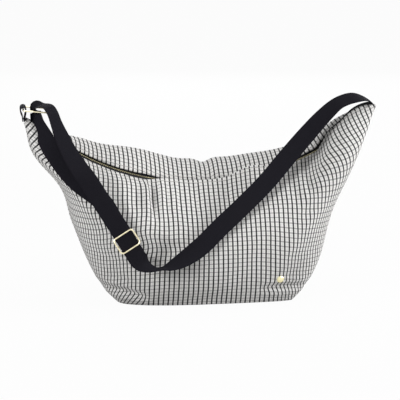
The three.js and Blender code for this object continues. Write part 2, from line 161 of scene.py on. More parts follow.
def facing(grid: Array, side: Side) -> Array:
    """Unit normals of a panel's grid, the cross product of its two central differences,
    turned so that the middle one faces out of the bag."""
    out = unit(np.cross(np.gradient(grid, axis=1), np.gradient(grid, axis=0)))
    middle = out[grid.shape[0] // 2, grid.shape[1] // 2, 1]
    return out * (side.value if middle > 0 else -side.value)


# Meshes


@dataclass
class Form:
    """Points in millimetres, with quads, triangles and a cloth coordinate per point."""

    points: Array
    quads: Array
    tris: Array
    uv: Array

    def turned_out(self) -> "Form":
        """The same closed form with its faces turned so that its volume is positive."""
        fans = [self.tris, self.quads[:, [0, 1, 2]], self.quads[:, [0, 2, 3]]]
        a, b, c = (self.points[np.vstack(fans)[:, i]] for i in range(3))
        if np.einsum("ij,ij->", a, np.cross(b, c)) < 0:
            return Form(self.points, self.quads[:, ::-1], self.tris[:, ::-1], self.uv)
        return self


def join(forms: list[Form]) -> Form:
    """Several forms as one, with their faces counted on."""
    starts = np.cumsum([0] + [len(f.points) for f in forms[:-1]])
    return Form(
        np.vstack([f.points for f in forms]),
        np.vstack([f.quads + s for f, s in zip(forms, starts)]),
        np.vstack([f.tris + s for f, s in zip(forms, starts)]),
        np.vstack([f.uv for f in forms]),
    )


def grid_quads(rows: int, cols: int, ring: bool = False, loop: bool = False) -> Array:
    """Quads of a rows by cols grid. A ring closes its columns, a loop its rows."""
    i = np.arange(rows if loop else rows - 1)[:, None]
    j = np.arange(cols if ring else cols - 1)[None, :]
    up, side = (i + 1) % rows, (j + 1) % cols
    corners = [i * cols + j, i * cols + side, up * cols + side, up * cols + j]
    return np.stack(np.broadcast_arrays(*corners), axis=-1).reshape(-1, 4)


def loft(rings: Array, uv: Array | None = None, loop: bool = False) -> Form:
    """A skin over rings of points. The end rings are closed by fans, or joined in a loop.

    Args:
        rings: Points, (rows, cols, 3).
        uv: Cloth coordinates, (rows, cols, 2), or none.
        loop: True where the last ring joins the first.

    Returns:
        The closed form, facing out.
    """
    rows, cols = rings.shape[:2]
    points = rings.reshape(-1, 3)
    marks = np.zeros((len(points), 2)) if uv is None else uv.reshape(-1, 2)
    tris = np.empty((0, 3), int)
    if not loop:
        n = rows * cols
        j = np.arange(cols)
        k = (j + 1) % cols
        low = np.stack([np.full(cols, n), k, j], axis=1)
        high = np.stack([np.full(cols, n + 1), n - cols + j, n - cols + k], axis=1)
        tris = np.vstack([low, high])
        points = np.vstack([points, rings[0].mean(axis=0), rings[-1].mean(axis=0)])
        marks = np.vstack([marks, marks[:cols].mean(axis=0), marks[-cols:].mean(axis=0)])
    return Form(points, grid_quads(rows, cols, True, loop), tris, marks).turned_out()


def shell(outer: Array, inner: Array, uv: Array) -> Form:
    """A sheet with thickness: two grids of one size, closed along their four edges."""
    rows, cols = outer.shape[:2]
    n = rows * cols
    face = grid_quads(rows, cols)
    ids = np.arange(n).reshape(rows, cols)
    edge = np.concatenate([ids[0, :-1], ids[:-1, -1], ids[-1, :0:-1], ids[:0:-1, 0]])
    after = np.roll(edge, -1)
    rim = np.stack([after, edge, edge + n, after + n], axis=1)
    quads = np.vstack([face, face[:, ::-1] + n, rim])
    points = np.vstack([outer.reshape(-1, 3), inner.reshape(-1, 3)])
    marks = np.tile(uv.reshape(-1, 2), (2, 1))
    return Form(points, quads, np.empty((0, 3), int), marks).turned_out()


def sweep(path: Array, side: Array, out: Array, section: Array, loop: bool = False) -> Form:
    """A flat section carried along a path: each ring is the path's point plus the
    section's two coordinates times the two directions there, or everywhere."""
    side, out = (np.broadcast_to(v, path.shape)[:, None] for v in (side, out))
    rings = path[:, None] + side * section[None, :, :1] + out * section[None, :, 1:]
    lengths = np.broadcast_to(travelled(path)[:, None], rings.shape[:2])
    marks = np.stack([lengths, np.broadcast_to(section[None, :, 0], rings.shape[:2])], axis=-1)
    return loft(rings, marks, loop)


def scatter(seed: Form, places: Array, axes: Array) -> Form:
    """Copies of a small form: each point is its place plus its coordinates times three axes.

    Args:
        seed: The form that is repeated.
        places: Where the copies stand, (k, 3).
        axes: Their three directions as rows, (k, 3, 3).

    Returns:
        All the copies as one form.
    """
    count, size = len(places), len(seed.points)
    points = places[:, None] + np.einsum("mi,kij->kmj", seed.points, axes)
    step = (np.arange(count) * size)[:, None, None]
    return Form(
        points.reshape(-1, 3),
        (seed.quads[None] + step).reshape(-1, 4),
        (seed.tris[None] + step).reshape(-1, 3),
        np.tile(seed.uv, (count, 1)),
    ).turned_out()


def placed(form: Form, origin: Array, axes: Array) -> Form:
    """A form moved to an origin with its X, Y and Z along the rows of axes."""
    return Form(origin + form.points @ axes, form.quads, form.tris, form.uv).turned_out()


def at_heights(flat: Array, z: Array) -> Array:
    """Rings of flat points, (rows, cols, 2), each set at its height."""
    heights = np.broadcast_to(z[:, None, None], flat.shape[:2] + (1,))
    return np.concatenate([flat, heights], axis=-1)


def oval(width: float, height: float, count: int, power: float = 1.0) -> Array:
    """A closed section: cosine and sine, each raised to a power that squares it off."""
    t = np.linspace(0.0, 2 * np.pi, count, endpoint=False)
    round_off = np.stack([np.cos(t), np.sin(t)], axis=1)
    return np.sign(round_off) * np.abs(round_off) ** power * [width / 2, height / 2]


def flat_section(width: float, thickness: float, spans: int = 12) -> Array:
    """A webbing section: two flat faces joined by half-round edges."""
    r = thickness / 2
    flat = np.linspace(-width / 2 + r, width / 2 - r, spans + 1)
    turn = np.linspace(np.pi / 2, -np.pi / 2, 5)[1:-1]
    right = np.stack([width / 2 - r + r * np.cos(turn), r * np.sin(turn)], axis=1)
    top = np.stack([flat, np.full_like(flat, r)], axis=1)
    under = np.stack([flat[::-1], np.full_like(flat, -r)], axis=1)
    return np.vstack([top, right, under, -right])


def rounded_loop(
    width: float, height: float, radius: float, corner: int = 8, side: int = 6
) -> Array:
    """A rounded rectangle: straight sides between quarter circles, walked anticlockwise."""
    w, h = width / 2 - radius, height / 2 - radius
    centres = np.array([[w, -h], [w, h], [-w, h], [-w, -h]])
    starts = np.array([-0.5, 0.0, 0.5, 1.0]) * np.pi
    angles = starts[:, None] + np.linspace(0.0, np.pi / 2, corner + 1)[None]
    arcs = centres[:, None] + radius * np.stack([np.cos(angles), np.sin(angles)], axis=-1)
    share = np.linspace(0.0, 1.0, side + 1)[1:-1][None, :, None]
    lines = arcs[:, -1:] * (1 - share) + np.roll(arcs, -1, axis=0)[:, :1] * share
    return np.concatenate([arcs, lines], axis=1).reshape(-1, 2)


def bead(length: float, width: float, height: float, rings: int = 5, sides: int = 6) -> Form:
    """A small grain, long in X: ovals whose size follows a half circle along its length."""
    t = np.linspace(-0.96, 0.96, rings)
    swell = np.sqrt(1 - t**2) ** 0.6
    flat = swell[:, None, None] * oval(width, height, sides)[None]
    return loft(at_heights(flat, t * length / 2)[..., [2, 0, 1]])


def slab(outline: Array, low: float, high: float, soft: float) -> Form:
    """A plate with rounded rims: its outline shrunk a little at the two faces.

    Args:
        outline: Points round the plate, (n, 2).
        low: Height of the under face.
        high: Height of the top face.
        soft: How far the rim is rounded.

    Returns:
        The closed plate, flat in XY.
    """
    centre = outline.mean(axis=0)
    reach = np.linalg.norm(outline - centre, axis=1, keepdims=True)
    turn = np.linspace(-np.pi / 2, np.pi / 2, 4)
    shrink = 1 - soft * (1 - np.cos(turn))[:, None, None] / reach
    z = np.repeat([low + soft, high - soft], 2) + soft * np.sin(turn)
    return loft(at_heights(centre + (outline - centre) * shrink, z))


def hollow(outer: Array, inner: Array, thickness: float, power: float, sides: int = 12) -> Form:
    """A frame: a rounded section carried round between an inner and an outer outline."""
    section = oval(1.0, thickness, sides, power)
    share = (section[:, 0] + 0.5)[None, :, None]
    flat = inner[:, None] * (1 - share) + outer[:, None] * share
    z = np.broadcast_to(section[None, :, 1:], flat.shape[:2] + (1,))
    return loft(np.concatenate([flat, z], axis=-1), None, True)


@dataclass(frozen=True)
class Stitch:
    """A row of thread grains: how far apart they are, and what the ends leave free."""

    pitch: float
    first: float
    spare: float
    grain: Triple
    lift: float = 0.0

    def row(self, line: Array, out: Array) -> Form:
        """Grains along a line, one every pitch, half sunk in the cloth that faces out."""
        near = 0.8
        run = travelled(line)
        at = np.arange(self.first, run[-1] - self.spare, self.pitch)
        ahead, behind = (column_interp(at + d, run, line) for d in (near, -near))
        way = unit(ahead - behind)
        up = unit(column_interp(at, run, np.broadcast_to(out, line.shape)))
        axes = np.stack([way, unit(np.cross(up, way)), up], axis=1)
        places = column_interp(at, run, line) + up * self.lift
        return scatter(bead(*self.grain), places, axes)


CLOTH_STITCH = Stitch(3.3, 3.3, 3.3, (2.574, 0.84, 0.714), 0.12)
WEB_STITCH = Stitch(2.6, 1.3, 0.0, (2.08, 0.8, 0.7))


def link(name: str, data: bpy.types.ID) -> bpy.types.Object:
    """A new object in the scene."""
    obj = bpy.data.objects.new(name, data)
    bpy.context.scene.collection.objects.link(obj)
    return obj


def piece(
    name: str,
    form: Form,
    material: Material,
    body: str | None = None,
    stands_for: tuple[str, ...] = (),
    crease: float | None = None,
) -> bpy.types.Object:
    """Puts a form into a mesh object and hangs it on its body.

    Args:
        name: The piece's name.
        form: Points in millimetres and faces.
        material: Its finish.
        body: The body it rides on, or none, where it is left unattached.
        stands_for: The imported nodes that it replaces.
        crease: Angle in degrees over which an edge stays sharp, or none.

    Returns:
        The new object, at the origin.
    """
    mesh = bpy.data.meshes.new(name)
    faces = form.quads.tolist() + form.tris.tolist()
    mesh.from_pydata((form.points * MM).tolist(), [], faces)
    corner = np.empty(len(mesh.loops), np.int32)
    mesh.loops.foreach_get("vertex_index", corner)
    layer = mesh.uv_layers.new(name=UV_NAME)
    layer.data.foreach_set("uv", form.uv[corner].astype(np.float32).ravel())
    mesh.polygons.foreach_set("use_smooth", np.ones(len(mesh.polygons), bool))
    if crease is not None:
        mesh.set_sharp_from_angle(angle=math.radians(crease))
    mesh.materials.append(material)
    mesh.update()
    obj = link(name, mesh)
    if body is not None:
        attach(obj, body)
    if stands_for:
        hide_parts(*stands_for)
    LOG.info("%s: %d points, %d faces", name, len(form.points), len(faces))
    return obj


# Finishes


class Bench:
    """Lays out the nodes of one material."""

    def __init__(self, name: str) -> None:
        """Starts a material with one Principled shader."""
        self.material = bpy.data.materials.new(name)
        self.material.use_nodes = True
        self.tree = self.material.node_tree
        self.tree.nodes.clear()
        self.shader = self.add("ShaderNodeBsdfPrincipled")
        self.end = self.add("ShaderNodeOutputMaterial")
        self.feed(self.end.inputs["Surface"], self.shader.outputs[0])

    def add(self, kind: str, **settings: object) -> bpy.types.Node:
        """A new node with its settings."""
        node = self.tree.nodes.new(kind)
        for key, value in settings.items():
            setattr(node, key, value)
        return node

    def feed(self, socket: Socket, value: object) -> None:
        """Links a socket, or sets its own value."""
        if isinstance(value, Socket):
            self.tree.links.new(value, socket)
        else:
            socket.default_value = value

    def fed(self, kind: str, values: tuple[object, ...], **settings: object) -> Socket:
        """The first result of a new node whose inputs are fed in order."""
        node = self.add(kind, **settings)
        for socket, value in zip(node.inputs, values):
            self.feed(socket, value)
        return node.outputs[0]

    def set(self, **values: object) -> None:
        """Feeds the shader's inputs, named with underscores for spaces."""
        for key, value in values.items():
            self.feed(self.shader.inputs[key.replace("_", " ")], value)

    def math(self, op: str, *values: object) -> Socket:
        """One Math node's result."""
        return self.fed("ShaderNodeMath", values, operation=op)

    def plus(self, a: object, b: object) -> Socket:
        """A sum."""
        return self.math("ADD", a, b)

    def times(self, a: object, b: object) -> Socket:
        """A product."""
        return self.math("MULTIPLY", a, b)

    def ramp(self, value: object, *ends: float) -> Socket:
        """A value eased between two ends, given as low, high, and the results there."""
        kind = "ShaderNodeMapRange"
        return self.fed(kind, (value, *ends), interpolation_type="SMOOTHSTEP")

    def mix(self, share: object, a: object, b: object) -> Socket:
        """Two colours mixed by a share."""
        node = self.add("ShaderNodeMix", data_type="RGBA")
        for index, value in ((0, share), (6, a), (7, b)):
            if isinstance(value, tuple):
                value = (*value, 1.0)
            self.feed(node.inputs[index], value)
        return node.outputs[2]

    def cloth_axes(self) -> tuple[Socket, Socket, Socket]:
        """The piece's own cloth coordinates: both together, then along and across."""
        uv = self.add("ShaderNodeUVMap", uv_map=UV_NAME).outputs[0]
        parts = self.add("ShaderNodeSeparateXYZ")
        self.feed(parts.inputs[0], uv)
        return uv, parts.outputs[0], parts.outputs[1]

    def noise(
        self, vector: object, scale: float, detail: float = 2.0, stretch: Triple | None = None
    ) -> Socket:
        """Noise from 0 to 1, its coordinates stretched first where asked."""
        if stretch is not None:
            turn = self.add("ShaderNodeMapping")
            self.feed(turn.inputs["Vector"], vector)
            turn.inputs["Scale"].default_value = stretch
            vector = turn.outputs[0]
        node = self.add("ShaderNodeTexNoise")
        for key, value in (("Vector", vector), ("Scale", scale), ("Detail", detail)):
            self.feed(node.inputs[key], value)
        return node.outputs[0]

    def band(self, t: object, centre: float, half: float, soft: float) -> Socket:
        """A soft line once in every unit of t: one near centre, nought past half its width."""
        shifted = self.math("FRACT", self.plus(t, 0.5 - centre))
        away = self.math("ABSOLUTE", self.math("SUBTRACT", shifted, 0.5))
        return self.ramp(away, half - soft, half + soft, 1.0, 0.0)

    def wave(self, t: object, count: float) -> Socket:
        """A sine with count turns in a unit of t."""
        return self.math("SINE", self.times(t, 2 * math.pi * count))

    def bump(self, height: object, distance: float, strength: float) -> None:
        """Feeds the shader's normal from a height."""
        node = self.add("ShaderNodeBump")
        for key, value in (("Strength", strength), ("Distance", distance), ("Height", height)):
            self.feed(node.inputs[key], value)
        self.set(Normal=node.outputs[0])


@dataclass(frozen=True)
class CheckCloth:
    """Pale woven cloth with bold dark warp lines and thinner grey weft lines, one of each
    in a unit, and a faint line of each halfway."""

    ground: Triple = (0.81, 0.80, 0.785)
    worn: float = 0.93
    ink: Triple = (0.011, 0.011, 0.013)
    warp_half: float = 0.165
    weft_half: float = 0.13
    weft_share: float = 0.5
    faint_half: float = 0.05
    yarns: float = 13.0
    drift: float = 0.10

    def material(self) -> Material:
        """Lines from the cloth coordinates, their edges stepped by the yarns that cross them."""
        b = Bench("check_cloth")
        uv, along, up = b.cloth_axes()
        drift = b.times(b.math("SUBTRACT", b.noise(uv, 0.35), 0.5), self.drift)
        warp_yarn, weft_yarn = b.wave(along, self.yarns), b.wave(up, self.yarns)
        u = b.plus(along, b.plus(drift, b.times(weft_yarn, 0.012)))
        v = b.plus(up, b.plus(drift, b.times(warp_yarn, 0.02)))
        left: object = 1.0
        for t, centre, half, soft, share in (
            (u, 0.0, self.warp_half, 0.035, 0.97),
            (v, 0.0, self.weft_half, 0.04, self.weft_share),
            (u, 0.5, self.faint_half, 0.04, 0.22),
            (v, 0.5, self.faint_half, 0.04, 0.15),
        ):
            line = b.times(b.band(t, centre, half, soft), share)
            left = b.times(left, b.math("SUBTRACT", 1.0, line))
        slub = b.noise(uv, 3.2, 3.0, (1.0, 9.0, 1.0))
        shade = b.ramp(slub, 0.25, 0.75, 0.94, 1.0)
        worn = tuple(self.worn * c for c in self.ground)
        ground = b.mix(b.noise(uv, 0.11, 3.0), self.ground, worn)
        cloth = b.mix(b.times(left, shade), self.ink, ground)
        over = b.times(warp_yarn, weft_yarn)
        b.set(Base_Color=cloth, Roughness=0.88, Specular_IOR_Level=0.2)
        b.set(Sheen_Weight=0.08, Sheen_Roughness=0.5)
        b.bump(b.plus(b.times(over, 0.5), b.times(slub, 0.6)), 0.00025, 0.5)
        return b.material


@dataclass(frozen=True)
class Webbing:
    """Close black webbing in chevron ribs, with painted sheen on the rib crowns. Its coordinates
    are millimetres along and across.
    """

    name: str = "webbing"
    colour: Triple = (0.0082, 0.0078, 0.0108)
    # paler colour painted on the yarn tops and rib crowns as sheen
    crown_sheen: Triple = (0.0200, 0.0191, 0.0245)
    rib: float = 2.1
    lean: float = 1.0
    rows: float = 0.55

    def material(self) -> Material:
        """Slanting yarns that change their way from rib to rib, with painted sheen: a paler tone on
        the yarn tops and rib crowns.
        """
        b = Bench(self.name)
        uv, along, across = b.cloth_axes()
        fold = b.math("PINGPONG", b.math("DIVIDE", across, self.rib), 1.0)
        yarn = b.wave(b.plus(b.times(along, self.rows), b.times(fold, self.lean)), 1.0)
        crown = b.math("SINE", b.times(fold, math.pi))
        height = b.plus(b.times(yarn, 0.5), b.times(crown, 0.5))
        fuzz = b.ramp(b.noise(uv, 0.6, 4.0), 0.3, 0.75, 0.3, 1.0)
        # painted sheen: yarn tops and rib crowns are mixed toward the paler second colour, broken
        # up by noise
        share = b.times(b.ramp(height, -0.2, 0.9, 0.0, 0.7), fuzz)
        tone = b.mix(share, self.colour, self.crown_sheen)
        b.set(Base_Color=tone, Roughness=0.85, Specular_IOR_Level=0.04)
        b.bump(height, 0.0003, 0.6)
        return b.material


@dataclass(frozen=True)
class PaleBrass:
    """Polished pale brass with fine rubbing and a duller, browner tone in the dips."""

    name: str = "pale_brass"
    bright: Triple = (0.88, 0.81, 0.58)
    dull: Triple = (0.66, 0.57, 0.36)
    smooth: float = 0.12
    rough: float = 0.3

    def material(self) -> Material:
        """Tone and roughness from two noises on object coordinates, and hairline bump."""
        b = Bench(self.name)
        place = b.add("ShaderNodeTexCoord").outputs["Object"]
        cloud = b.noise(place, 140.0, 4.0)
        hair = b.noise(place, 420.0, 2.0, (1.0, 6.0, 0.25))
        tone = b.mix(b.ramp(cloud, 0.35, 0.75, 0.0, 0.75), self.bright, self.dull)
        rough = b.ramp(hair, 0.3, 0.7, self.smooth, self.rough)
        b.set(Base_Color=tone, Metallic=1.0, Roughness=rough)
        b.bump(hair, 0.00006, 0.3)
        return b.material


@dataclass(frozen=True)
class PlainWeave:
    """A one-colour woven cloth or thread with fine yarns, a coordinate unit a millimetre."""

    name: str
    colour: Triple
    deep: Triple
    yarns: float = 1.4

    def material(self) -> Material:
        """Over and under yarns as the product of two sines, and a slow change of tone."""
        b = Bench(self.name)
        uv, along, across = b.cloth_axes()
        over = b.times(b.wave(along, self.yarns), b.wave(across, self.yarns))
        slow = b.times(b.noise(uv, 0.05, 3.0), 0.4)
        tone = b.mix(b.plus(b.ramp(over, -1.0, 1.0, 0.0, 0.6), slow), self.deep, self.colour)
        b.set(Base_Color=tone, Roughness=0.85, Specular_IOR_Level=0.2, Sheen_Weight=0.1)
        b.bump(over, 0.00015, 0.5)
        return b.material


# Cloth body


@dataclass(frozen=True)
class Fold:
    """A soft crease on a line in the X, Z view of a panel, fading toward both ends."""

    x0: float
    z0: float
    x1: float
    z1: float
    width: float
    depth: float

    def height(self, x: Array, z: Array) -> Array:
        """Depth times a bell of the distance to the line, with a low swell at each side."""
        dx, dz = self.x1 - self.x0, self.z1 - self.z0
        size = math.hypot(dx, dz)
        t = ((x - self.x0) * dx + (z - self.z0) * dz) / size**2
        away = ((x - self.x0) * dz - (z - self.z0) * dx) / size
        reach = np.clip(t, 0.0, 1.0)
        d = np.hypot(away, (t - reach) * size) / self.width
        ends = 0.35 + 0.65 * np.sin(np.pi * reach)
        swell = np.exp(-((np.abs(d) - 1.7) ** 2) * 1.6)
        return self.depth * ends * (np.exp(-(d**2)) - 0.35 * swell)


@dataclass(frozen=True)
class HornLines:
    """Straight warp lines on one horn: its way in X, the lines' angle from X in degrees,
    how close they are, and the across and up shares over which they ease in."""

    way: float
    angle: float
    count: float
    wide: tuple[float, float]
    tall: tuple[float, float]


RIGHT_HORN = HornLines(1.0, 121.0, 1.03, (0.38, 0.54), (0.6, 0.86))
LEFT_HORN = HornLines(-1.0, 30.0, 1.05, (0.56, 0.72), (0.58, 0.85))
GATHER_UP = (0.2, 0.33, 0.46, 0.6, 0.8, 1.0)
GATHER_X = (105.0, 114.0, 145.0, 185.0, 250.0, 330.0)
GATHER_WIDTH = 50.0
EVEN_ROWS = 15
LEFT_MOUTH = (-236.0, -200.0, -104.0, -72.0)
MIDDLE_MOUTH = (-92.0, -62.0, 96.0, 126.0)
RIGHT_MOUTH = (140.0, 165.0, 205.0, 228.0)


@dataclass
class Crescent:
    """The cloth body: two crescent panels sewn at the sides to a boxed base."""

    base_length: float = 308.0
    base_depth: float = 150.0
    horn_reach: float = 306.0
    mouth_low: float = 205.0
    mouth_radius: float = 430.0
    left_droop: float = 16.0
    corner_spring: float = 27.0
    side_waist: float = 9.0
    left_hip: Triple = (11.0, 0.42, 0.4)
    right_hip: Triple = (5.0, 0.2, 0.0)
    left_square: float = 0.38
    right_square: float = 0.09
    horn_square: float = 0.75
    left_ridge: float = 0.8
    front_belly: tuple[float, float] = (125.0, 120.0)
    back_belly: tuple[float, float] = (112.0, 98.0)
    back_rise: tuple[float, float] = (26.0, 172.0)
    slot_half: float = 7.0
    zip_y: float = -8.0
    foot: float = 0.4
    seam_gap: float = 0.2
    cloth: float = 1.6
    lining_inset: float = 4.1
    lining_trim: float = 0.14
    lining_cloth: float = 0.8
    check_warp: float = 8.4
    check_weft: float = 7.45
    back_gather: float = 1.05
    side_gather: float = 0.42
    columns: int = 300
    rows: int = 120
    lip: float = 3.4
    puff: float = 14.0
    sag: float = 4.8
    lift: float = 3.5
    horn_rise: float = 30.5
    flap_step: float = 7.0
    flap_lean: float = 0.62

    def hip(self, depth: float, start: float, lean: float, up: Array) -> Array:
        """In and out again above a starting height, as depth times the product of two
        sines, weighed toward the horn by a lean."""
        t = np.clip((up - start) / (1 - start), 0.0, None)
        return depth * (1 - lean + 2 * lean * t) * np.sin(2 * np.pi * t) * np.sin(np.pi * t)

    def seam_reach(self, across: Array, up: Array) -> Array:
        """Half the width at a height share: a quick spring at the base corner, then a flare
        with a slight waist, and a hip below each horn."""
        spring = self.corner_spring * (1 - (1 - up) ** 8)
        flare = (self.horn_reach - self.base_length / 2 - self.corner_spring) * up
        waist = self.side_waist * np.sin(np.pi * up) ** 2
        left, right = self.hip(*self.left_hip, up), self.hip(*self.right_hip, up)
        return self.base_length / 2 + spring + flare - waist - np.where(across < 0, left, right)

    def corner_power(self, way: Array) -> Array:
        """How square a base corner is on each side: a smaller power is tighter."""
        return np.where(way < 0, self.left_square, self.right_square)

    def mouth_height(self, x: Array) -> Array:
        """The mouth's circle arc."""
        return self.mouth_low + self.mouth_radius - np.sqrt(self.mouth_radius**2 - x * x)

    def point(self, side: Side, across: Array, up: Array) -> Array:
        """A panel's outer point. X is the seam's reach times a sine of across, Y a cubic
        belly times a rounding that falls to the seam, Z the mouth's height times up.

        Args:
            side: Front or back.
            across: From -1 at the left seam to 1 at the right.
            up: From 0 at the base to 1 at the mouth.

        Returns:
            Points in millimetres, (..., 3).
        """
        across, up = np.broadcast_arrays(np.asarray(across, float), np.asarray(up, float))
        turn = np.sin(across * np.pi / 2)
        fade = np.clip(np.cos(across * np.pi / 2), 0.0, None)
        droop = np.where(across < 0, self.left_droop * np.abs(across) ** 10, 0.0)
        rise = self.mouth_height(self.horn_reach * turn) - droop - self.foot
        lid = up**6
        square = self.corner_power(across)
        soft = fade ** (square + (self.horn_square - square) * up)
        rounding = (1 - lid) * soft + lid * (1 - np.abs(across) ** 10)
        seam_y = self.zip_y * up**3
        x = self.seam_reach(across, up) * turn
        belly = self.front_belly if side is Side.FRONT else self.back_belly
        slot = self.slot_half + side.value * self.zip_y
        out = cubic(self.base_depth / 2, *belly, slot, up)
        y = seam_y + side.value * (self.seam_gap + (out - side.value * seam_y) * rounding)
        if side is Side.FRONT:
            z = self.foot + rise * up
        else:
            skew = np.where(across < 0, self.left_ridge * across**2 * (1 - across**2), 0.0)
            ridge = (1 - across**2) * (1 + skew)
            low, high = (rise * k / 3 + r * ridge for k, r in zip((1, 2), self.back_rise))
            z = self.foot + cubic(0.0, low, high, rise, up)
        return np.stack([x, y, z], axis=-1)

    def inset(self, side: Side, across: Array, up: Array, depth: float) -> Array:
        """A panel point moved into the bag by depth along the cross product of two small steps."""
        across, up = np.broadcast_arrays(np.asarray(across, float), np.asarray(up, float))
        step = 1e-3
        p = self.point(side, across, up)
        way = np.where(np.abs(across) < 1e-6, 1.0, -np.sign(across))
        lift = np.where(up > 0.5, -1.0, 1.0)
        du = (self.point(side, across + way * step, up) - p) * way[..., None]
        dv = (self.point(side, across, up + lift * step) - p) * lift[..., None]
        inward = np.cross(dv, du) * -side.value
        inward[..., 1] = np.where(np.abs(across) > 0.999, 0.0, inward[..., 1])
        return p + unit(inward) * depth

    def cloth_marks(self, side: Side, grid: Array, up: Array) -> Array:
        """Check coordinates. Along is the distance from the middle of the row, gathered closer
        toward the low corners and evened out near the mouth. Up is the distance from the
        base less a part that grows with the square of along, so that lines cross squarely.

        Args:
            side: Front or back.
            grid: A panel's points, (rows, columns, 3).
            up: The height share of each row.

        Returns:
            Cloth coordinates in checks, (rows, columns, 2).
        """
        step = np.linalg.norm(np.diff(grid, axis=1), axis=2)
        start = np.interp(up, GATHER_UP, GATHER_X)[:, None]
        close = ease(start, start + GATHER_WIDTH, np.abs(grid[:, 1:, 0]))
        along = summed(step * (1 + self.side_gather * close), 1)
        along -= along[:, [grid.shape[1] // 2]]
        even = smoothed(smoothed(along, EVEN_ROWS), EVEN_ROWS)
        along += (even - along) * ease(0.55, 0.8, up)[:, None]
        if side is Side.BACK:
            along *= self.back_gather
        tilt = 0.00062 * ease(0.35, 0.9, up) - 0.00020 * (1 - ease(0.0, 0.3, up))
        height = travelled(grid, 0) - tilt[:, None] * along**2
        along = along + self.flap_shift(grid[..., 0], grid[..., 2])
        return np.stack([along / self.check_warp, height / self.check_weft], axis=-1)

    def flap_shift(self, x: Array, z: Array) -> Array:
        """How the warp lines jog at the fold over each base corner. On the left they step right
        above it, as a bell of the height over it, and lean back in step with the drop below it.
        On the right they step left and back, as a bell."""
        drop = 20.0 - (x + 113.0) * 0.234 - z
        above = -self.flap_step * bell(drop, 0.0, 7.0)
        left = np.where(drop < 0, above, self.flap_lean * drop - self.flap_step)
        right = 4.0 * bell(31.0 + (x - 99.0) * 0.03 - z, 0.0, 8.0)
        return left * (1 - ease(-120.0, -97.0, x)) + right * ease(90.0, 112.0, x)

    def horn_marks(
        self, side: Side, grid: Array, across: Array, up: Array, marks: Array
    ) -> Array:
        """Straight warp lines on the horns: there the along coordinate eases into a count of the
        level distance round the panel and of Z, across lines that stand at the horn's own angle.

        Args:
            side: Front or back.
            grid: A panel's points.
            across: The across value of each column.
            up: The height share of each row.
            marks: The panel's cloth coordinates so far.

        Returns:
            The new cloth coordinates.
        """
        x, z = travelled(grid[..., :2], 1), grid[..., 2]
        x = x - x[:, [len(across) // 2]]
        row = int(0.8 * (len(up) - 1))
        marks = marks.copy()
        for horn in (RIGHT_HORN, LEFT_HORN) if side is Side.FRONT else (RIGHT_HORN,):
            middle = horn.way * sum(horn.wide) / 2
            at = row, int(np.argmin(np.abs(across - middle)))
            lean = math.radians(horn.angle)
            flat = (x - x[at]) * math.sin(lean) - (z - z[at]) * math.cos(lean)
            share = ease(*horn.wide, across * horn.way)[None] * ease(*horn.tall, up)[:, None]
            straight = marks[at][0] + horn.count * flat / self.check_warp
            marks[..., 0] += (straight - marks[..., 0]) * share
        return marks

    def slack(self, x: Array, z: Array, across: Array, up: Array) -> Array:
        """Slow swells of loose cloth: a sum of three sines, gone at the seams and edges."""
        swell = np.sin(x / 31.0 + z / 47.0 + 0.7) + 0.8 * np.sin(x / 19.0 - z / 33.0 + 2.1)
        swell = swell + 0.6 * np.sin(x / 12.5 + z / 71.0 + 4.0) * ease(0.3, 0.9, up)
        hold = (1 - np.abs(across) ** 6) * window(0.0, 0.12, 0.93, 1.0, up)
        return 0.85 * swell * hold

    def mouth_edge(self, side: Side, x: Array, up: Array) -> Array:
        """How far a mouth edge stands above its arc. The front's sags off the zip at the left
        and a little at the right, stands over it in the middle and puffs up right of it.
        The back's lifts off the zip at the right and beside the middle. Both stand up at
        the right horn.

        Args:
            side: Front or back.
            x: Where on the mouth.
            up: Height share, for how much of the edge's move reaches a point.

        Returns:
            Upward moves in millimetres.
        """
        brim = ease(0.9, 1.0, up)
        left, right = window(*LEFT_MOUTH, x), window(*RIGHT_MOUTH, x)
        horn = self.horn_lift(x / self.seam_reach(1.0, up)) * ease(0.55, 1.0, up)
        if side is Side.BACK:
            wedge = 0.4 * bell(x, -96.0, 20.0)
            return (self.lift * (0.6 * right + wedge) + 1.2 * left) * brim + 0.75 * horn
        middle = window(*MIDDLE_MOUTH, x)
        edge = (self.lip * middle - self.sag * left - 0.2 * self.sag * right) * brim
        return edge + self.puff * bell(x, 86.0, 34.0) * ease(0.78, 1.0, up) + horn

    def edge_lean(self, edge: Array) -> Array:
        """How far a front edge that stands up leans back: a tenth of its height, to a limit."""
        return 0.1 * np.clip(edge, 0.0, 16.0)

    def horn_lift(self, turn: Array) -> Array:
        """How far the cloth at the right horn stands above the mouth's arc, by its share of the
        half width: two smooth steps up, then down to the tip as one less a square."""
        rise = 0.78 * ease(0.647, 0.735, turn) + 0.22 * ease(0.735, 0.86, turn)
        fall = np.clip((turn - 0.84) / 0.16, 0.0, 1.0) ** 2
        return self.horn_rise * rise * (1 - fall)

    def ridge_wave(self, x: Array, up: Array) -> Array:
        """The slack line of the back's ridge: two swells left of the middle and a notch at it,
        as bells of X, most at the ridge and gone at the mouth and the base."""
        swell = 9.0 * bell(x, -112.0, 58.0) + 4.0 * bell(x, -208.0, 36.0)
        return (swell - 8.0 * bell(x, 8.0, 13.0)) * window(0.3, 0.72, 0.82, 0.99, up)

    def gathers(self, x: Array, up: Array) -> Array:
        """Short puckers where the cloth is eased on to the zip: sines of X that fade below it."""
        comb = np.sin(x / 4.1) * 0.5 + np.sin(x / 6.3 + 1.1) * 0.5
        return 0.55 * comb * window(0.84, 0.95, 0.985, 1.0, up)


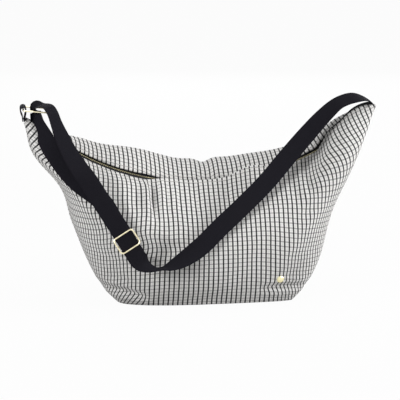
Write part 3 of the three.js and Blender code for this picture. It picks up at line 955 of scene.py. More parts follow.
FRONT_FOLDS = (
    Fold(-124, 216, -120, 160, 9.0, -3.0),
    Fold(-104, 214, -98, 166, 5.5, 4.4),
    Fold(-86, 212, -88, 160, 7.5, -7.0),
    Fold(-62, 208, -66, 160, 7.0, -3.0),
    Fold(-40, 207, -42, 164, 7.0, -2.6),
    Fold(-18, 206, -10, 162, 7.0, -3.0),
    Fold(36, 205, 44, 168, 8.0, -3.0),
    Fold(176, 238, 190, 190, 7.0, -4.0),
    Fold(227, 292, 198, 212, 8.0, -6.5),
    Fold(150, 222, 160, 176, 7.0, -2.4),
    Fold(-236, 272, -196, 190, 10.0, -4.0),
    Fold(-180, 36, -108, 19, 7.0, -6.0),
    Fold(-160, 62, -120, 30, 12.0, -2.0),
    Fold(96, 29, 176, 30, 7.0, -4.5),
    Fold(162, 66, 128, 38, 12.0, -2.2),
    Fold(-20, 8, 40, 22, 14.0, -2.0),
    Fold(60, 60, 110, 100, 22.0, -2.4),
)
STRAP_HOLLOW = Fold(-76, 88, -64, 128, 30.0, -14.0)
BACK_FOLDS = (
    Fold(-150, 196, -118, 120, 9.0, -4.0),
    Fold(-60, 214, -70, 130, 9.0, -3.4),
    Fold(40, 216, 54, 140, 9.0, -3.6),
    Fold(130, 206, 112, 120, 9.0, -4.0),
    Fold(225, 252, 176, 160, 11.0, -4.4),
    Fold(-225, 250, -180, 160, 11.0, -4.4),
    Fold(-176, 26, -104, 5, 8.0, -6.0),
    Fold(176, 26, 104, 5, 8.0, -6.0),
)


@dataclass
class ClothBody:
    """Builds the panels, linings, base, side seams and their stitching."""

    shape: Crescent
    strap_line: Array
    check: Material
    lining: Material
    thread: Material
    strap_near: float = 22.0
    strap_far: float = 45.0
    block: int = 4000
    lining_step: int = 4

    def parameters(self) -> tuple[Array, Array]:
        """Across values crowded to the seams by a cubic, and even up values."""
        t = np.linspace(-1.0, 1.0, self.shape.columns + 1)
        return t * (1.5 - 0.5 * t * t), np.linspace(0.0, 1.0, self.shape.rows + 1)

    def clear_of_strap(self, grid: Array) -> Array:
        """Nought near the strap's middle line, easing to one away from it."""
        flat = grid.reshape(-1, 3)
        near = []
        for start in range(0, len(flat), self.block):
            block = flat[start : start + self.block, None]
            near.append(np.linalg.norm(block - self.strap_line[None], axis=2).min(axis=1))
        away = np.concatenate(near).reshape(grid.shape[:2])
        return ease(self.strap_near, self.strap_far, away)

    def surface(self, side: Side) -> tuple[Array, Array, Array, Array]:
        """A panel's outer grid with its folds, its inner grid, its cloth coordinates and the
        folds. They push the cloth out along its normals, less so beside the strap."""
        shape = self.shape
        across, up = self.parameters()
        tall = up[:, None]
        grid = shape.point(side, across[None], tall)
        out = facing(grid, side)
        x, z = grid[..., 0], grid[..., 2]
        folds = FRONT_FOLDS if side is Side.FRONT else BACK_FOLDS
        push = sum(f.height(x, z) for f in folds)
        push = push * (1 - np.abs(across[None]) ** 8) * window(0.0, 0.05, 0.96, 1.0, tall)
        push = push + shape.slack(x, z, across[None], tall) + shape.gathers(x, tall)
        if side is Side.FRONT:
            room = self.clear_of_strap(grid)
            push = np.minimum(push, 0.0) * (0.35 + 0.65 * room) + np.maximum(push, 0.0) * room
            push = push + STRAP_HOLLOW.height(x, z)
        grid = grid + out * push[..., None]
        edge = shape.mouth_edge(side, grid[..., 0], tall)
        grid[..., 2] += edge
        if side is Side.FRONT:
            grid[..., 1] += shape.edge_lean(edge)
        else:
            grid[..., 2] += shape.ridge_wave(grid[..., 0], tall)
        marks = shape.horn_marks(side, grid, across, up, shape.cloth_marks(side, grid, up))
        inner = grid - out * shape.cloth
        inner[:, [0, -1], 1] = grid[:, [0, -1], 1] - side.value * 0.05
        return grid, inner, marks, push

    def panel(self, side: Side) -> tuple[Array, Array]:
        """One outside panel with its rows of stitching. Returns its outer grid and normals."""
        name = side.name.lower()
        outer, inner, marks, push = self.surface(side)
        self.lining_side(side, push)
        form = shell(outer, inner, marks)
        piece(f"{name}_cloth", form, self.check, "bag", (f"{name}_panel",))
        out = facing(outer, side)
        last = self.shape.columns
        spans = [(self.shape.rows - 2, slice(12, last - 11))]
        spans += [(slice(3, -4), column) for column in (9, last - 9)]
        rows = [CLOTH_STITCH.row(outer[span], out[span]) for span in spans]
        piece(f"{name}_stitching", join(rows), self.thread, "bag")
        return outer, out

    def lining_side(self, side: Side, push: Array) -> None:
        """One side's inner cloth: the panel moved in by the lining's inset and pressed in by
        the deepest of the folds near each point.

        Args:
            side: Front or back.
            push: The outer cloth's folds on its own grid, in millimetres outwards.
        """
        shape, step = self.shape, self.lining_step
        low = 3.5 / shape.mouth_low
        rows = np.arange(3, shape.rows - 3, step)
        cols = np.arange(0, shape.columns + 1, step)
        across, up = self.parameters()
        wide = across[cols]
        top = 0.97 - shape.lining_trim * wide**4
        tall = low + (top[None] - low) * (up[rows] / up[rows][-1])[:, None]
        wide = np.broadcast_to(wide[None], tall.shape)
        ways = (-step, 0, step)
        near = [np.roll(push, (i, j), (0, 1)) for i in ways for j in ways]
        deepest = np.minimum(np.minimum.reduce(near), 0.0)
        at = np.clip(np.rint(tall * shape.rows).astype(int), 0, shape.rows)
        pressed = deepest[at, np.broadcast_to(cols[None], at.shape)][..., None]
        base = shape.inset(side, wide, tall, shape.lining_inset)
        inward = unit(shape.inset(side, wide, tall, shape.lining_inset + 1.0) - base)
        outer = base - inward * pressed
        if side is Side.BACK:
            outer[..., 2] += shape.ridge_wave(outer[..., 0], tall)
        form = shell(outer, outer + inward * shape.lining_cloth, outer[..., [0, 2]])
        name = side.name.lower()
        stands_for = (f"{name}_lining",)
        piece(f"{name}_inner_cloth", form, self.lining, "bag", stands_for)

    def outline(self, inset: float, count: int = 160) -> Array:
        """The base's edge: a sine in X, a cosine to a small power in Y."""
        t = np.linspace(-np.pi, np.pi, count, endpoint=False)
        c = np.cos(t)
        x = np.sin(t) * (self.shape.base_length / 2 - inset)
        square = np.abs(c) ** self.shape.corner_power(x)
        return np.stack([x, -np.sign(c) * square * (self.shape.base_depth / 2 - inset)], axis=1)

    def plate(self, inset: float, low: float, high: float, check: float, dish: float) -> Form:
        """The base outline filled by shrinking rings, with rounded rims and a slight dish below.

        Args:
            inset: How far the edge lies inside the panels.
            low: Height of the under face.
            high: Height of the top face.
            check: Millimetres in a cloth coordinate unit.
            dish: How far the middle of the under face rises.

        Returns:
            The closed plate.
        """
        face = np.array([0.02, 0.25, 0.5, 0.75, 0.9, 0.97])
        share = np.concatenate([face, [1.0, 1.0], face[::-1]])
        rim = (high - low) * 0.25
        under = low + dish * (1 - face**4)
        z = np.concatenate([under, [low + rim, high - rim], np.full(len(face), high)])
        rings = at_heights(self.outline(inset)[None] * share[:, None, None], z)
        return loft(rings, rings[..., :2] / check)

    def base(self) -> None:
        """The boxed base, its corded edge and the corded side seams."""
        check = self.shape.check_warp
        form = self.plate(2.2, 0.0, 3.0, check, 0.4)
        piece("base_cloth", form, self.check, "bag", ("base_panel",))
        form = self.plate(5.5, 3.3, 4.1, 1.0, 0.0)
        piece("base_inner_cloth", form, self.lining, "bag", ("base_lining",))
        edge = self.outline(1.0, 260)
        path = np.column_stack([edge, np.full(len(edge), 1.5)])
        along = unit(np.roll(path, -1, axis=0) - np.roll(path, 1, axis=0))
        cords = [sweep(path, unit(np.cross(along, Z_AXIS)), Z_AXIS, oval(2.6, 2.6, 10), True)]
        share = np.linspace(0.006, 0.994, 160)
        for way in (-1.0, 1.0):
            line = self.shape.point(Side.FRONT, way, share)
            line[:, 1] += self.shape.seam_gap
            out = unit(np.cross(unit(np.gradient(line, axis=0)), Y_AXIS))
            cords.append(sweep(line, Y_AXIS, out, oval(2.6, 2.2, 10)))
        form = join(cords)
        form.uv = form.uv / check
        piece("seam_cords", form, self.check, "bag")

    def build(self) -> tuple[Array, Array]:
        """Makes the whole body. Returns the front's outer grid and normals."""
        front = self.panel(Side.FRONT)
        self.panel(Side.BACK)
        self.base()
        return front


# Zip


@dataclass
class Zip:
    """The brass chain on its black tapes, along the mouth's arc."""

    shape: Crescent
    tape: Material
    brass: Material
    pull_brass: Material
    drop: float = 2.2
    rest: float = math.radians(-34.0)
    end: float = math.radians(36.0)
    pitch: float = 3.5
    tooth_height: float = 2.6
    tooth_play: float = 0.4
    bead_outer: float = 2.6
    slider_length: float = 14.0
    slider_half: float = 4.4
    plate: float = 1.4
    bridge: float = 3.55
    tape_inset: float = 3.0
    tape_cloth: float = 0.7

    @property
    def radius(self) -> float:
        """Radius of the chain's middle line."""
        return self.shape.mouth_radius + self.drop

    @property
    def slider_gap(self) -> float:
        """Half the space between the slider's plates."""
        return self.tooth_height / 2 + self.tooth_play

    def on_arc(self, points: Array, angle: Array) -> Array:
        """Points drawn at the lowest part of the chain, turned about the arc's centre by angle."""
        x, y, z = points[..., 0], points[..., 1], points[..., 2] - self.radius
        c, s = np.cos(angle), np.sin(angle)
        centre = self.shape.mouth_low + self.shape.mouth_radius
        return np.stack([x * c - z * s, y + self.shape.zip_y, x * s + z * c + centre], axis=-1)

    def axes(self, angle: Array) -> Array:
        """The chain's along, across and up directions at angles, as rows."""
        angle = np.asarray(angle)
        c, s, o = np.cos(angle), np.sin(angle), np.zeros_like(angle)
        rows = ([c, o, s], [o, o + 1, o], [-s, o, c])
        return np.stack([np.stack(row, -1) for row in rows], axis=-2)

    def tooth(self, way: float) -> Form:
        """A tooth: ovals from its legs on the bead to a round nose past the middle line."""
        across = np.array([2.9, 2.5, 1.5, 0.6, -0.2, -0.8, -1.1]) * way
        along = np.array([0.9, 1.25, 1.3, 1.0, 1.15, 1.0, 0.55])
        height = np.array([1.5, 2.5, 2.6, 2.2, 2.3, 2.0, 1.2])
        size = np.stack([along, height], axis=1)[:, None]
        rings = at_heights(size * oval(1.0, 1.0, 8, 0.7)[None], across)
        return loft(rings[..., [0, 2, 1]])

    def chain(self, side: Side) -> None:
        """One row of teeth, set half a pitch from the other row."""
        step = self.pitch / self.radius
        first = self.rest + (0.0 if side is Side.FRONT else step / 2)
        angle = np.arange(first, self.end - step / 2, step)
        places = self.on_arc(np.zeros((len(angle), 3)), angle)
        name = side.name.lower()
        form = scatter(self.tooth(side.value), places, self.axes(angle))
        stands_for = (f"{name}_zip_teeth",)
        piece(f"{name}_brass_teeth", form, self.brass, "bag", stands_for, 50)

    def tape_side(self, side: Side, x: Array, depth: float, lift: float) -> Array:
        """One face of a tape as rows of points: the edge under the teeth, a level strip beside
        it, and three rows that climb under the panel's hem and peek over it at the right.

        Args:
            side: Front or back.
            x: Where along the mouth, in millimetres.
            depth: How far inside the panel the face lies.
            lift: Its height over the chain's middle line.

        Returns:
            Points, (5, len(x), 3).
        """
        shape, ones = self.shape, np.ones_like(x)
        turn = x / shape.horn_reach
        across = np.arcsin(turn) * 2 / np.pi
        peek = 4.5 * ease(0.64, 0.7, turn) + 2.0 * ease(0.75, 0.85, turn)
        peek = peek * (1 - ease(0.95, 0.985, turn))
        edge = np.stack([0 * x, side.value * (self.bead_outer + 0.1) * ones, lift * ones], axis=-1)
        floor = shape.inset(side, across, ones, depth + 0.8)
        floor[:, 2] += np.minimum(shape.mouth_edge(side, x, ones), 0.0)
        rows = [self.on_arc(edge, np.arcsin(x / shape.mouth_radius)), floor]
        for up, more in ((1.0, 0.0), (0.992, 0.5), (0.985, 2.2)):
            row = shape.inset(side, across, up * ones, depth + more)
            shift = shape.mouth_edge(side, x, up * ones)
            if side is Side.FRONT:
                shift = np.where(peek > 0, shift + peek * (up == 1.0), np.minimum(shift, 0.0))
                row[:, 1] += shape.edge_lean(shift)
            row[:, 2] += shift
            rows.append(row)
        return np.stack(rows)

    def tape_strip(self, side: Side) -> None:
        """A tape with a corded edge under the teeth, running under the panel's hem."""
        x_end = math.sin(self.end + 0.035) * self.shape.mouth_radius
        x = np.linspace(-x_end, self.shape.horn_reach - 7.0, 240)
        half = self.tape_cloth / 2
        outer = self.tape_side(side, x, self.tape_inset, half)
        inner = self.tape_side(side, x, self.tape_inset + self.tape_cloth, -half)
        run = np.arcsin(x / self.shape.mouth_radius) * self.radius
        wide = np.array([0.0, 5.0, 7.0, 10.0, 15.0])
        strip = shell(outer, inner, np.stack(np.meshgrid(run, wide), axis=-1))
        turn = np.linspace(self.rest - 9.5 / self.radius, self.end, 260)
        path = self.on_arc(np.tile([0.0, side.value * 1.9, 0.0], (len(turn), 1)), turn)
        axes = self.axes(turn)
        form = join([strip, sweep(path, axes[:, 1], axes[:, 2], oval(1.5, 1.7, 8))])
        name = side.name.lower()
        piece(f"{name}_tape", form, self.tape, "bag", (f"{name}_zip_tape",), 60)

    def stops(self) -> None:
        """Small pinched stops at both ends of the chain."""
        near = -self.slider_length / 2 - 5.1
        grain = bead(3.2, 1.9, 3.0, 7, 10)
        stops = []
        for side in Side:
            name, at = f"zip_top_stop_{side.name.lower()}", np.array([near, side.value * 1.75, 0.0])
            stops.append((name, grain, at, self.rest))
        block = slab(rounded_loop(4.2, 5.2, 1.2, 4, 3), -1.6, 1.6, 0.5)
        stops.append(("zip_bottom_stop", block, X_AXIS * 2.4, self.end))
        for name, form, at, angle in stops:
            form = placed(form, self.on_arc(at, angle), self.axes(angle))
            piece(f"{name}_brass", form, self.brass, "bag", (name,), 50)

    def slider(self) -> None:
        """The slider: two shield plates with turned-in lips, a wedge between, an arched bridge."""
        gap, half, wide = self.slider_gap, self.slider_length / 2, self.slider_half
        top = gap + self.plate
        outline = oval(2 * half, 2 * wide, 48, 0.45)
        c = np.cos(np.linspace(0.0, 2 * np.pi, 48, endpoint=False))
        outline[:, 1] *= np.minimum(1.0 - 0.12 * np.sign(c) * c**2, 1.0)
        parts = [slab(outline, gap, top, 0.45), slab(outline, -top, -gap, 0.45)]
        wedge = bead(3.2, 1.8, 2 * gap + 0.8, 7, 10)
        parts.append(placed(wedge, X_AXIS * (2.2 - half), np.eye(3)))
        x = np.linspace(-half + 3.2, half - 0.6, 10)
        for way in (-1.0, 1.0):
            for lift in (-1.0, 1.0):
                path = x[:, None] * X_AXIS + [0.0, way * (wide - 0.45), lift * 1.28]
                parts.append(sweep(path, Y_AXIS, Z_AXIS, oval(0.8, 0.9, 8, 0.7)))
        bend = np.linspace(0.0, np.pi, 22)
        out = np.stack([np.cos(bend), 0 * bend, np.sin(bend)], 1)
        path = self.bridge * out + Z_AXIS * (top - 0.4)
        parts.append(sweep(path, Y_AXIS, out, oval(2.2, 1.3, 12, 0.6)))
        form = join(parts)
        form.points = self.on_arc(form.points, self.rest)
        piece("slider_brass", form, self.pull_brass, "slider", ("zip_slider",), 40)

    def pull(self) -> None:
        """The pull: a waisted plate that tapers to a round end, with a square eye at its root."""
        root, shoulder, end, wide, tip = 6.3, 9.0, 22.6, 4.4, 3.4
        eye = rounded_loop(4.8, 3.2, 0.6, 4, 5) + [3.2, 0.0]
        rim = rounded_loop(7.6, 6.4, 1.6, 4, 5) + [3.0, 0.0]
        turn = np.linspace(0.1, np.pi / 2, 10)
        x = np.concatenate([np.linspace(root, end, 24), end + tip * np.sin(turn)])
        neck = 3.1 + 1.3 * ease(root, 9.2, x)
        half = np.where(x < shoulder, neck, np.interp(x, [shoulder, end], [wide, tip]))
        half = np.where(x > end, np.sqrt(np.clip(tip**2 - (x - end) ** 2, 0.04, None)), half)
        rows = np.stack([x, half], 1)
        tongue = slab(np.vstack([rows, rows[::-1] * [1.0, -1.0]]), -0.75, 0.75, 0.3)
        dish = slab(oval(10.4, 4.0, 32) + [15.5, 0.0], 0.5, 1.0, 0.2)
        form = join([hollow(rim, eye, 1.5, 0.55), tongue, dish])
        lift = Z_AXIS * (self.slider_gap + self.plate + 1.2)
        form.points = self.on_arc(form.points + lift, self.rest)
        piece("pull_brass", form, self.pull_brass, "pull", ("zip_pull",), 40)

    def build(self) -> None:
        """Makes the tapes, both rows of teeth, the stops, the slider and its pull."""
        for side in Side:
            self.tape_strip(side)
            self.chain(side)
        self.stops()
        self.slider()
        self.pull()


# Strap and its fittings


@dataclass
class Ribbon:
    """A strip of webbing along stations: place and the way its width points."""

    stations: Array
    width: float = 32.0
    thickness: float = 1.6
    cup: float = 0.25
    blur: int = 9

    def spine(self, steps: int) -> tuple[Array, Array, Array]:
        """Even points along the strip with its across and outward directions.

        Args:
            steps: How many points.

        Returns:
            Points, across and outward unit vectors, (steps, 3) each.
        """
        fine, t = spline(self.stations[:, :3], 12 * steps)
        across = column_interp(t, np.arange(len(self.stations)), self.stations[:, 3:])
        run = travelled(fine)
        even = np.linspace(0.0, run[-1], steps)
        path, across = column_interp(even, run, fine), column_interp(even, run, across)
        across = smoothed(across, self.blur // 2)
        along = unit(np.gradient(path, axis=0))
        out = unit(np.cross(along, across))
        return path, unit(np.cross(out, along)), out

    def form(self, steps: int) -> Form:
        """The strip's flat section carried along its spine, a little cupped."""
        section = flat_section(self.width, self.thickness)
        section[:, 1] += self.cup * (1 - (2 * section[:, 0] / self.width) ** 2)
        return sweep(*self.spine(steps), section)


@dataclass
class StrapLeg:
    """The straight leg that the adjuster sits on."""

    at: Array
    top: Array

    @property
    def axes(self) -> Array:
        """The leg's across, upward and outward directions, as rows."""
        down = unit(self.at - self.top)
        across = unit(np.array([-down[2], 0.0, down[0]]))
        return np.stack([across, -down, unit(np.cross(across, -down))])

    def on(self, down: float, out: float = 0.0) -> list[float]:
        """A station on the leg: so far down it and so far out of it."""
        across, up, outward = self.axes
        return [*(self.at - up * down + outward * out), *across]


LEG = StrapLeg(np.array([-140.0, -112.0, 128.0]), np.array([-262.0, -38.0, 322.0]))

STRAP_STATIONS = np.array([
    [-286, -10.5, 334, -0.52, 0.85, 0],
    [-287.2, -10.8, 340, -0.5, 0.86, 0],
    [-285, -12.6, 343.6, -0.36, 0.93, 0],
    [-277, -18.8, 346, 0.15, 0.98, 0],
    [-265.4, -29, 346.4, 0.55, 0.83, 0],
    [-258.4, -35.4, 337, 0.56, 0.82, 0.03],
    [-252.5, -39, 320, 0.59, 0.81, 0.06],
    [-245.5, -45, 302, 0.68, 0.71, 0.16],
    [-232.5, -55.5, 273.6, 0.77, 0.58, 0.26],
    [-214, -67.8, 243, 0.83, 0.3, 0.43],
    LEG.on(-124),
    LEG.on(-70),
    LEG.on(0),
    LEG.on(24),
    LEG.on(36, 0.5),
    [-107, -124, 87, 0.5, 0.78, 0.15],
    [-85, -122.5, 81, 0.1, 0.97, -0.2],
    [-59, -120.5, 88, -0.35, 0.88, 0.28],
    [-19, -112, 111, -0.58, 0.4, 0.7],
    [21, -97, 144, -0.66, 0.25, 0.72],
    [62, -80, 176, -0.68, 0.2, 0.72],
    [103, -62, 210, -0.7, 0.2, 0.7],
    [142, -45, 249.2, -0.69, 0.36, 0.62],
    [176, -32, 283.5, -0.63, 0.5, 0.56],
    [210, -19, 315.6, -0.5, 0.7, 0.46],
    [236, -11, 336, -0.32, 0.85, 0.36],
    [252, -8.4, 342.6, -0.14, 0.9, 0.42],
    [262, -8, 345, 0, 0.91, 0.42],
    [271, -8, 345.6, 0, 0.94, 0.33],
    [280, -8, 344.8, 0, 0.98, 0.16],
    [288, -8, 342.8, 0, 1, 0],
    [295, -8, 338.8, 0, 1, 0],
    [299, -8, 334.2, 0, 1, 0],
])

RETURN_STATIONS = np.array([
    [-286, -10.5, 334, 0.52, -0.85, 0],
    [-285.6, -13.5, 326, 0.54, -0.84, 0],
    [-283, -20.1, 316, 0.62, -0.78, 0.05],
    [-276, -30, 302, 0.72, -0.62, 0.2],
    [-268.5, -40.5, 288, 0.82, -0.35, 0.42],
    [-257.5, -48.2, 270, 0.84, -0.05, 0.54],
    [-225, -62, 227, 0.84, 0, 0.54],
    LEG.on(-80, -10),
    LEG.on(-44, -8),
    LEG.on(-20, -7),
    LEG.on(-4, -7),
    LEG.on(0.6, -7),
    LEG.on(2.3, -6.3),
    LEG.on(3, -4.6),
    LEG.on(2.3, -2.9),
    LEG.on(0.6, -2.2),
    LEG.on(-4, -2.2),
    LEG.on(-20, -2.2),
])

STRAP_STEPS = 520


@dataclass
class Strap:
    """The shoulder strap, its doubled return leg, the ring, the tab and the adjuster."""

    shape: Crescent
    web: Material
    brass: Material
    thread: Material
    bar_x: float = -307.0
    bar_z: float = 340.0
    ring_y: float = -8.0
    ring_inner: tuple[float, float] = (43.2, 37.2)
    wire: float = 2.8
    ring_tilt: float = math.radians(6.0)
    tab_foot: float = 3.4
    tab_top: float = 4.4
    tab_half: float = 4.5
    stitch_half: float = 14.0

    def webbing(self) -> None:
        """The strap from the ring through the adjuster to the right horn, and its return leg."""
        form = Ribbon(STRAP_STATIONS).form(STRAP_STEPS)
        stands_for = ("shoulder_strap", "strap_anchor")
        obj = piece("strap_web", form, self.web, None, stands_for)
        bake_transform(obj)
        form = Ribbon(RETURN_STATIONS).form(260)
        obj = piece("strap_return_web", form, self.web, None, ("strap_return",))
        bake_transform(obj)

    def tab(self) -> None:
        """The loop of webbing round the ring's left bar, with a bar of stitches at its foot."""
        shape, half, bar = self.shape, self.tab_half, self.bar_z
        foot = shape.mouth_height(shape.horn_reach) - shape.left_droop + self.tab_foot
        top = bar + self.tab_top
        climb = [(half, bar - 4), (half, bar + 0.6), (half * 0.72, top - 1.2)]
        line = [(-1.0, foot), (-1.2, foot + 6), *((-x, z) for x, z in climb), (0.0, top)]
        line += [*climb[::-1], (2.6, foot + 6), (1.0, foot)]
        stations = np.array([[self.bar_x + x, self.ring_y, z, 0, 1, 0] for x, z in line])
        form = Ribbon(stations).form(90)
        piece("tab_web", form, self.web, "bag", ("ring_tab",))
        across = np.linspace(-self.stitch_half, self.stitch_half, 40)[:, None] * Y_AXIS
        rows = []
        for way, x in ((-1.0, -2.05), (1.0, 2.9)):
            for lift in (4.0, 7.0):
                line = across + [self.bar_x + x, self.ring_y, foot + lift]
                rows.append(WEB_STITCH.row(line, X_AXIS * way))
        piece("tab_stitching", join(rows), self.thread, "bag")

    def ring(self) -> None:
        """The wire ring: a round section carried round a rounded rectangle, tilted on the bar."""
        x, y = self.ring_inner
        outer = rounded_loop(x + 2 * self.wire, y + 2 * self.wire, 6.0, 10, 8)
        form = hollow(outer, rounded_loop(x, y, 2.0, 10, 8), self.wire, 1.0, 16)
        c, s = math.cos(self.ring_tilt), math.sin(self.ring_tilt)
        axes = np.array([[c, 0.0, -s], [0.0, 1.0, 0.0], [s, 0.0, c]])
        reach = x / 2 + self.wire / 2
        origin = np.array([self.bar_x + reach * c, self.ring_y, self.bar_z - reach * s])
        form = placed(form, origin, axes)
        piece("ring_brass", form, self.brass, "ring", ("strap_ring",))

    def adjuster(self) -> None:
        """The adjuster: a rounded frame in front of the leg and a bar bent round behind it."""
        outer, inner = rounded_loop(40.0, 31.0, 6.4, 8, 8), rounded_loop(34.7, 25.7, 3.8, 8, 8)
        rim = hollow(outer, inner, 2.6, 0.62, 16)
        rim.points[:, 2] += 2.4
        reach, low, high, bend = 18.2, -4.6, 2.2, 1.4
        turn = np.linspace(0.0, np.pi / 2, 6)
        corner = bend * (1 - np.stack([np.cos(turn), np.sin(turn)], 1)) + [-reach, low]
        left = np.vstack([[[-reach, high], [-reach, -1.0]], corner])
        line = np.vstack([left, left[::-1] * [-1, 1]])
        path = np.stack([line[:, 0], 0 * line[:, 0], line[:, 1]], 1)
        out = unit(np.cross(unit(np.gradient(path, axis=0)), Y_AXIS))
        bar = sweep(path, Y_AXIS, out, oval(2.4, 2.2, 14, 0.75))
        form = placed(join([rim, bar]), LEG.at, LEG.axes)
        piece("adjuster_brass", form, self.brass, "adjuster", ("strap_adjuster",), 60)

    def anchor_stitching(self) -> None:
        """Two bars of stitches across the webbing where it is sewn into the right horn."""
        path, across, out = Ribbon(STRAP_STATIONS).spine(STRAP_STEPS)
        share = np.linspace(-self.stitch_half, self.stitch_half, 40)[:, None]
        rows = []
        for x in (283.0, 287.0):
            k = int(np.argmin(np.abs(path[:, 0] - x)))
            for way, lift in ((1.0, 1.0), (-1.0, 0.62)):
                line = path[k] + across[k] * share + out[k] * way * lift
                rows.append(WEB_STITCH.row(line, out[k] * way))
        obj = piece("anchor_stitching", join(rows), self.thread)
        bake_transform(obj)

    def build(self) -> None:
        """Makes the webbing, the tab, the ring, the adjuster and their stitches."""
        self.webbing()
        self.tab()
        self.ring()
        self.adjuster()
        self.anchor_stitching()


@dataclass
class Stud:
    """The plain round stud low on the front."""

    brass: Material
    radius: float = 6.2

    def build(self, grid: Array, normals: Array) -> None:
        """A turned cap with a stepped rim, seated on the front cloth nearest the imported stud.

        Args:
            grid: The front cloth's outer points.
            normals: Their outward normals.
        """
        low, high = (np.array(v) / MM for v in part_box("accent_stud"))
        flat = grid.reshape(-1, 3)
        k = int(np.argmin(np.linalg.norm(flat - (low + high) / 2, axis=1)))
        up = unit(normals.reshape(-1, 3)[k])
        share = np.array([0.98, 1.0, 1.0, 0.93, 0.86, 0.84, 0.8, 0.62, 0.38, 0.12])
        lift = np.array([-0.6, -0.3, 0.9, 1.25, 1.3, 1.15, 1.45, 2.0, 2.35, 2.5])
        ring = oval(2 * self.radius, 2 * self.radius, 40)
        form = loft(at_heights(ring[None] * share[:, None, None], lift))
        side = unit(np.cross(up, Z_AXIS))
        form = placed(form, flat[k], np.stack([side, np.cross(up, side), up]))
        piece("stud_brass", form, self.brass, "bag", ("accent_stud",), 50)


# Studio

LAMPS = (
    ("key", (-1.5, -1.15, 0.8), 0.6, 23.0),
    ("top", (0.3, 0.1, 2.0), 1.3, 16.0),
    ("fill", (2.0, -0.6, 0.75), 0.8, 44.0),
    ("front", (-0.35, -1.15, 1.75), 1.3, 2.0),
    ("back", (0.3, 2.0, 0.8), 1.3, 18.0),
)


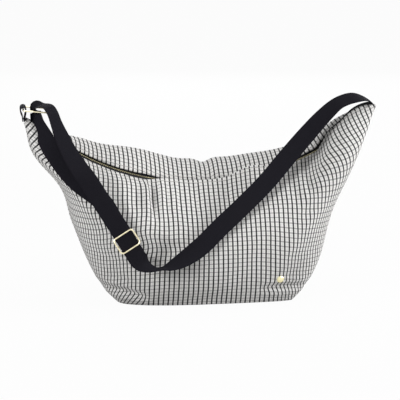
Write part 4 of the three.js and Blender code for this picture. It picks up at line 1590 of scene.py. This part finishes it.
@dataclass
class Studio:
    """Floor, lamps, sky and camera."""

    target: Triple = (-0.0023, 0.0, 0.1684)
    lamp_target: Triple = (0.0, 0.0, 0.15)
    azimuth: float = math.radians(-7.0)
    elevation: float = math.radians(14.0)
    distance: float = 3.2
    view_width: float = 0.70
    sensor: float = 36.0
    sky_level: float = 0.24
    floor_half: float = 30.0
    floor_glow: float = 0.96

    def look(self, obj: bpy.types.Object, at: Triple, to: Triple) -> None:
        """Places an object and points its -Z at a point, with its Y upwards."""
        back = unit(np.array(at) - np.array(to))
        side = unit(np.cross(Z_AXIS, back))
        up = np.cross(back, side)
        rows = [[side[i], up[i], back[i], at[i]] for i in range(3)]
        obj.matrix_world = mathutils.Matrix([*rows, [0.0, 0.0, 0.0, 1.0]])

    def camera(self) -> None:
        """A long lens at the photograph's angle."""
        data = bpy.data.cameras.new("camera")
        data.sensor_width = self.sensor
        data.lens = self.sensor * self.distance / self.view_width
        obj = link("camera", data)
        a, e = self.azimuth, self.elevation
        way = np.array([math.sin(a) * math.cos(e), -math.cos(a) * math.cos(e), math.sin(e)])
        self.look(obj, tuple(np.array(self.target) + way * self.distance), self.target)
        bpy.context.scene.camera = obj

    def lamp(self, name: str, at: Triple, size: float, power: float) -> None:
        """One soft square lamp aimed at the bag."""
        data = bpy.data.lights.new(name, "AREA")
        data.shape, data.size, data.energy = "SQUARE", size, power
        self.look(link(name, data), at, self.lamp_target)

    def seen(self, tree: bpy.types.NodeTree) -> Socket:
        """One for camera, glossy and transmitted rays, nought for the rest."""
        path = tree.nodes.new("ShaderNodeLightPath")
        total = path.outputs["Is Camera Ray"]
        for name in ("Is Glossy Ray", "Is Transmission Ray"):
            larger = tree.nodes.new("ShaderNodeMath")
            larger.operation = "MAXIMUM"
            tree.links.new(total, larger.inputs[0])
            tree.links.new(path.outputs[name], larger.inputs[1])
            total = larger.outputs[0]
        return total

    def sky(self) -> None:
        """White where it is seen, and a plain soft level where it lights."""
        world = bpy.data.worlds.new("sky")
        world.use_nodes = True
        tree = world.node_tree
        ground = tree.nodes["Background"]
        ground.inputs["Color"].default_value = (1.0, 1.0, 1.0, 1.0)
        size = tree.nodes.new("ShaderNodeMapRange")
        size.inputs["To Min"].default_value = self.sky_level
        size.inputs["To Max"].default_value = 1.0
        tree.links.new(self.seen(tree), size.inputs["Value"])
        tree.links.new(size.outputs[0], ground.inputs["Strength"])
        bpy.context.scene.world = world

    def floor(self) -> None:
        """A wide pale floor that is white to the eye and keeps a soft shadow."""
        r = self.floor_half
        corners = [[-r, -r, 0.0], [r, -r, 0.0], [r, r, 0.0], [-r, r, 0.0]]
        mesh = bpy.data.meshes.new("floor")
        mesh.from_pydata(corners, [], [[0, 1, 2, 3]])
        b = Bench("floor_white")
        b.set(Base_Color=(0.5, 0.5, 0.5, 1.0), Roughness=0.9, Specular_IOR_Level=0.1)
        glow = b.add("ShaderNodeEmission").outputs[0]
        share = b.times(self.seen(b.tree), self.floor_glow)
        seen = b.fed("ShaderNodeMixShader", (share, b.shader.outputs[0], glow))
        b.feed(b.end.inputs["Surface"], seen)
        mesh.materials.append(b.material)
        link("floor", mesh)

    def build(self) -> None:
        """Sets the camera, the lamps, the sky, the floor and the plain view transform."""
        self.camera()
        for lamp in LAMPS:
            self.lamp(*lamp)
        self.sky()
        self.floor()
        bpy.context.scene.view_settings.view_transform = "Standard"


BRASS = PaleBrass()
ZIP_BRASS = PaleBrass("zip_brass", (0.48, 0.43, 0.25), (0.27, 0.23, 0.12), 0.25, 0.5)
STUD_BRASS = PaleBrass("stud_brass", (0.86, 0.80, 0.52), (0.74, 0.66, 0.40), 0.35, 0.5)
DARK_THREAD = PlainWeave("dark_thread", (0.03, 0.03, 0.034), (0.012, 0.012, 0.014))
PALE_THREAD = PlainWeave("pale_thread", (0.72, 0.70, 0.66), (0.5, 0.48, 0.45))
LINING = PlainWeave("lining_cloth", (0.50, 0.46, 0.39), (0.38, 0.34, 0.28))
TAPE = PlainWeave("zip_tape", (0.022, 0.022, 0.025), (0.008, 0.008, 0.010), 0.8)


def main() -> None:
    """Builds the studio, the cloth body, the zip, the strap and the stud."""
    logging.basicConfig(level=logging.INFO, format="%(name)s %(message)s")
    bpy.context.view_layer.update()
    Studio().build()
    shape, brass = Crescent(), BRASS.material()
    strap_line = Ribbon(STRAP_STATIONS).spine(300)[0]
    cloths = (finish.material() for finish in (CheckCloth(), LINING, PALE_THREAD))
    front, normals = ClothBody(shape, strap_line, *cloths).build()
    Zip(shape, TAPE.material(), ZIP_BRASS.material(), brass).build()
    Strap(shape, Webbing().material(), brass, DARK_THREAD.material()).build()
    Stud(STUD_BRASS.material()).build(front, normals)


if __name__ == "__main__":
    main()
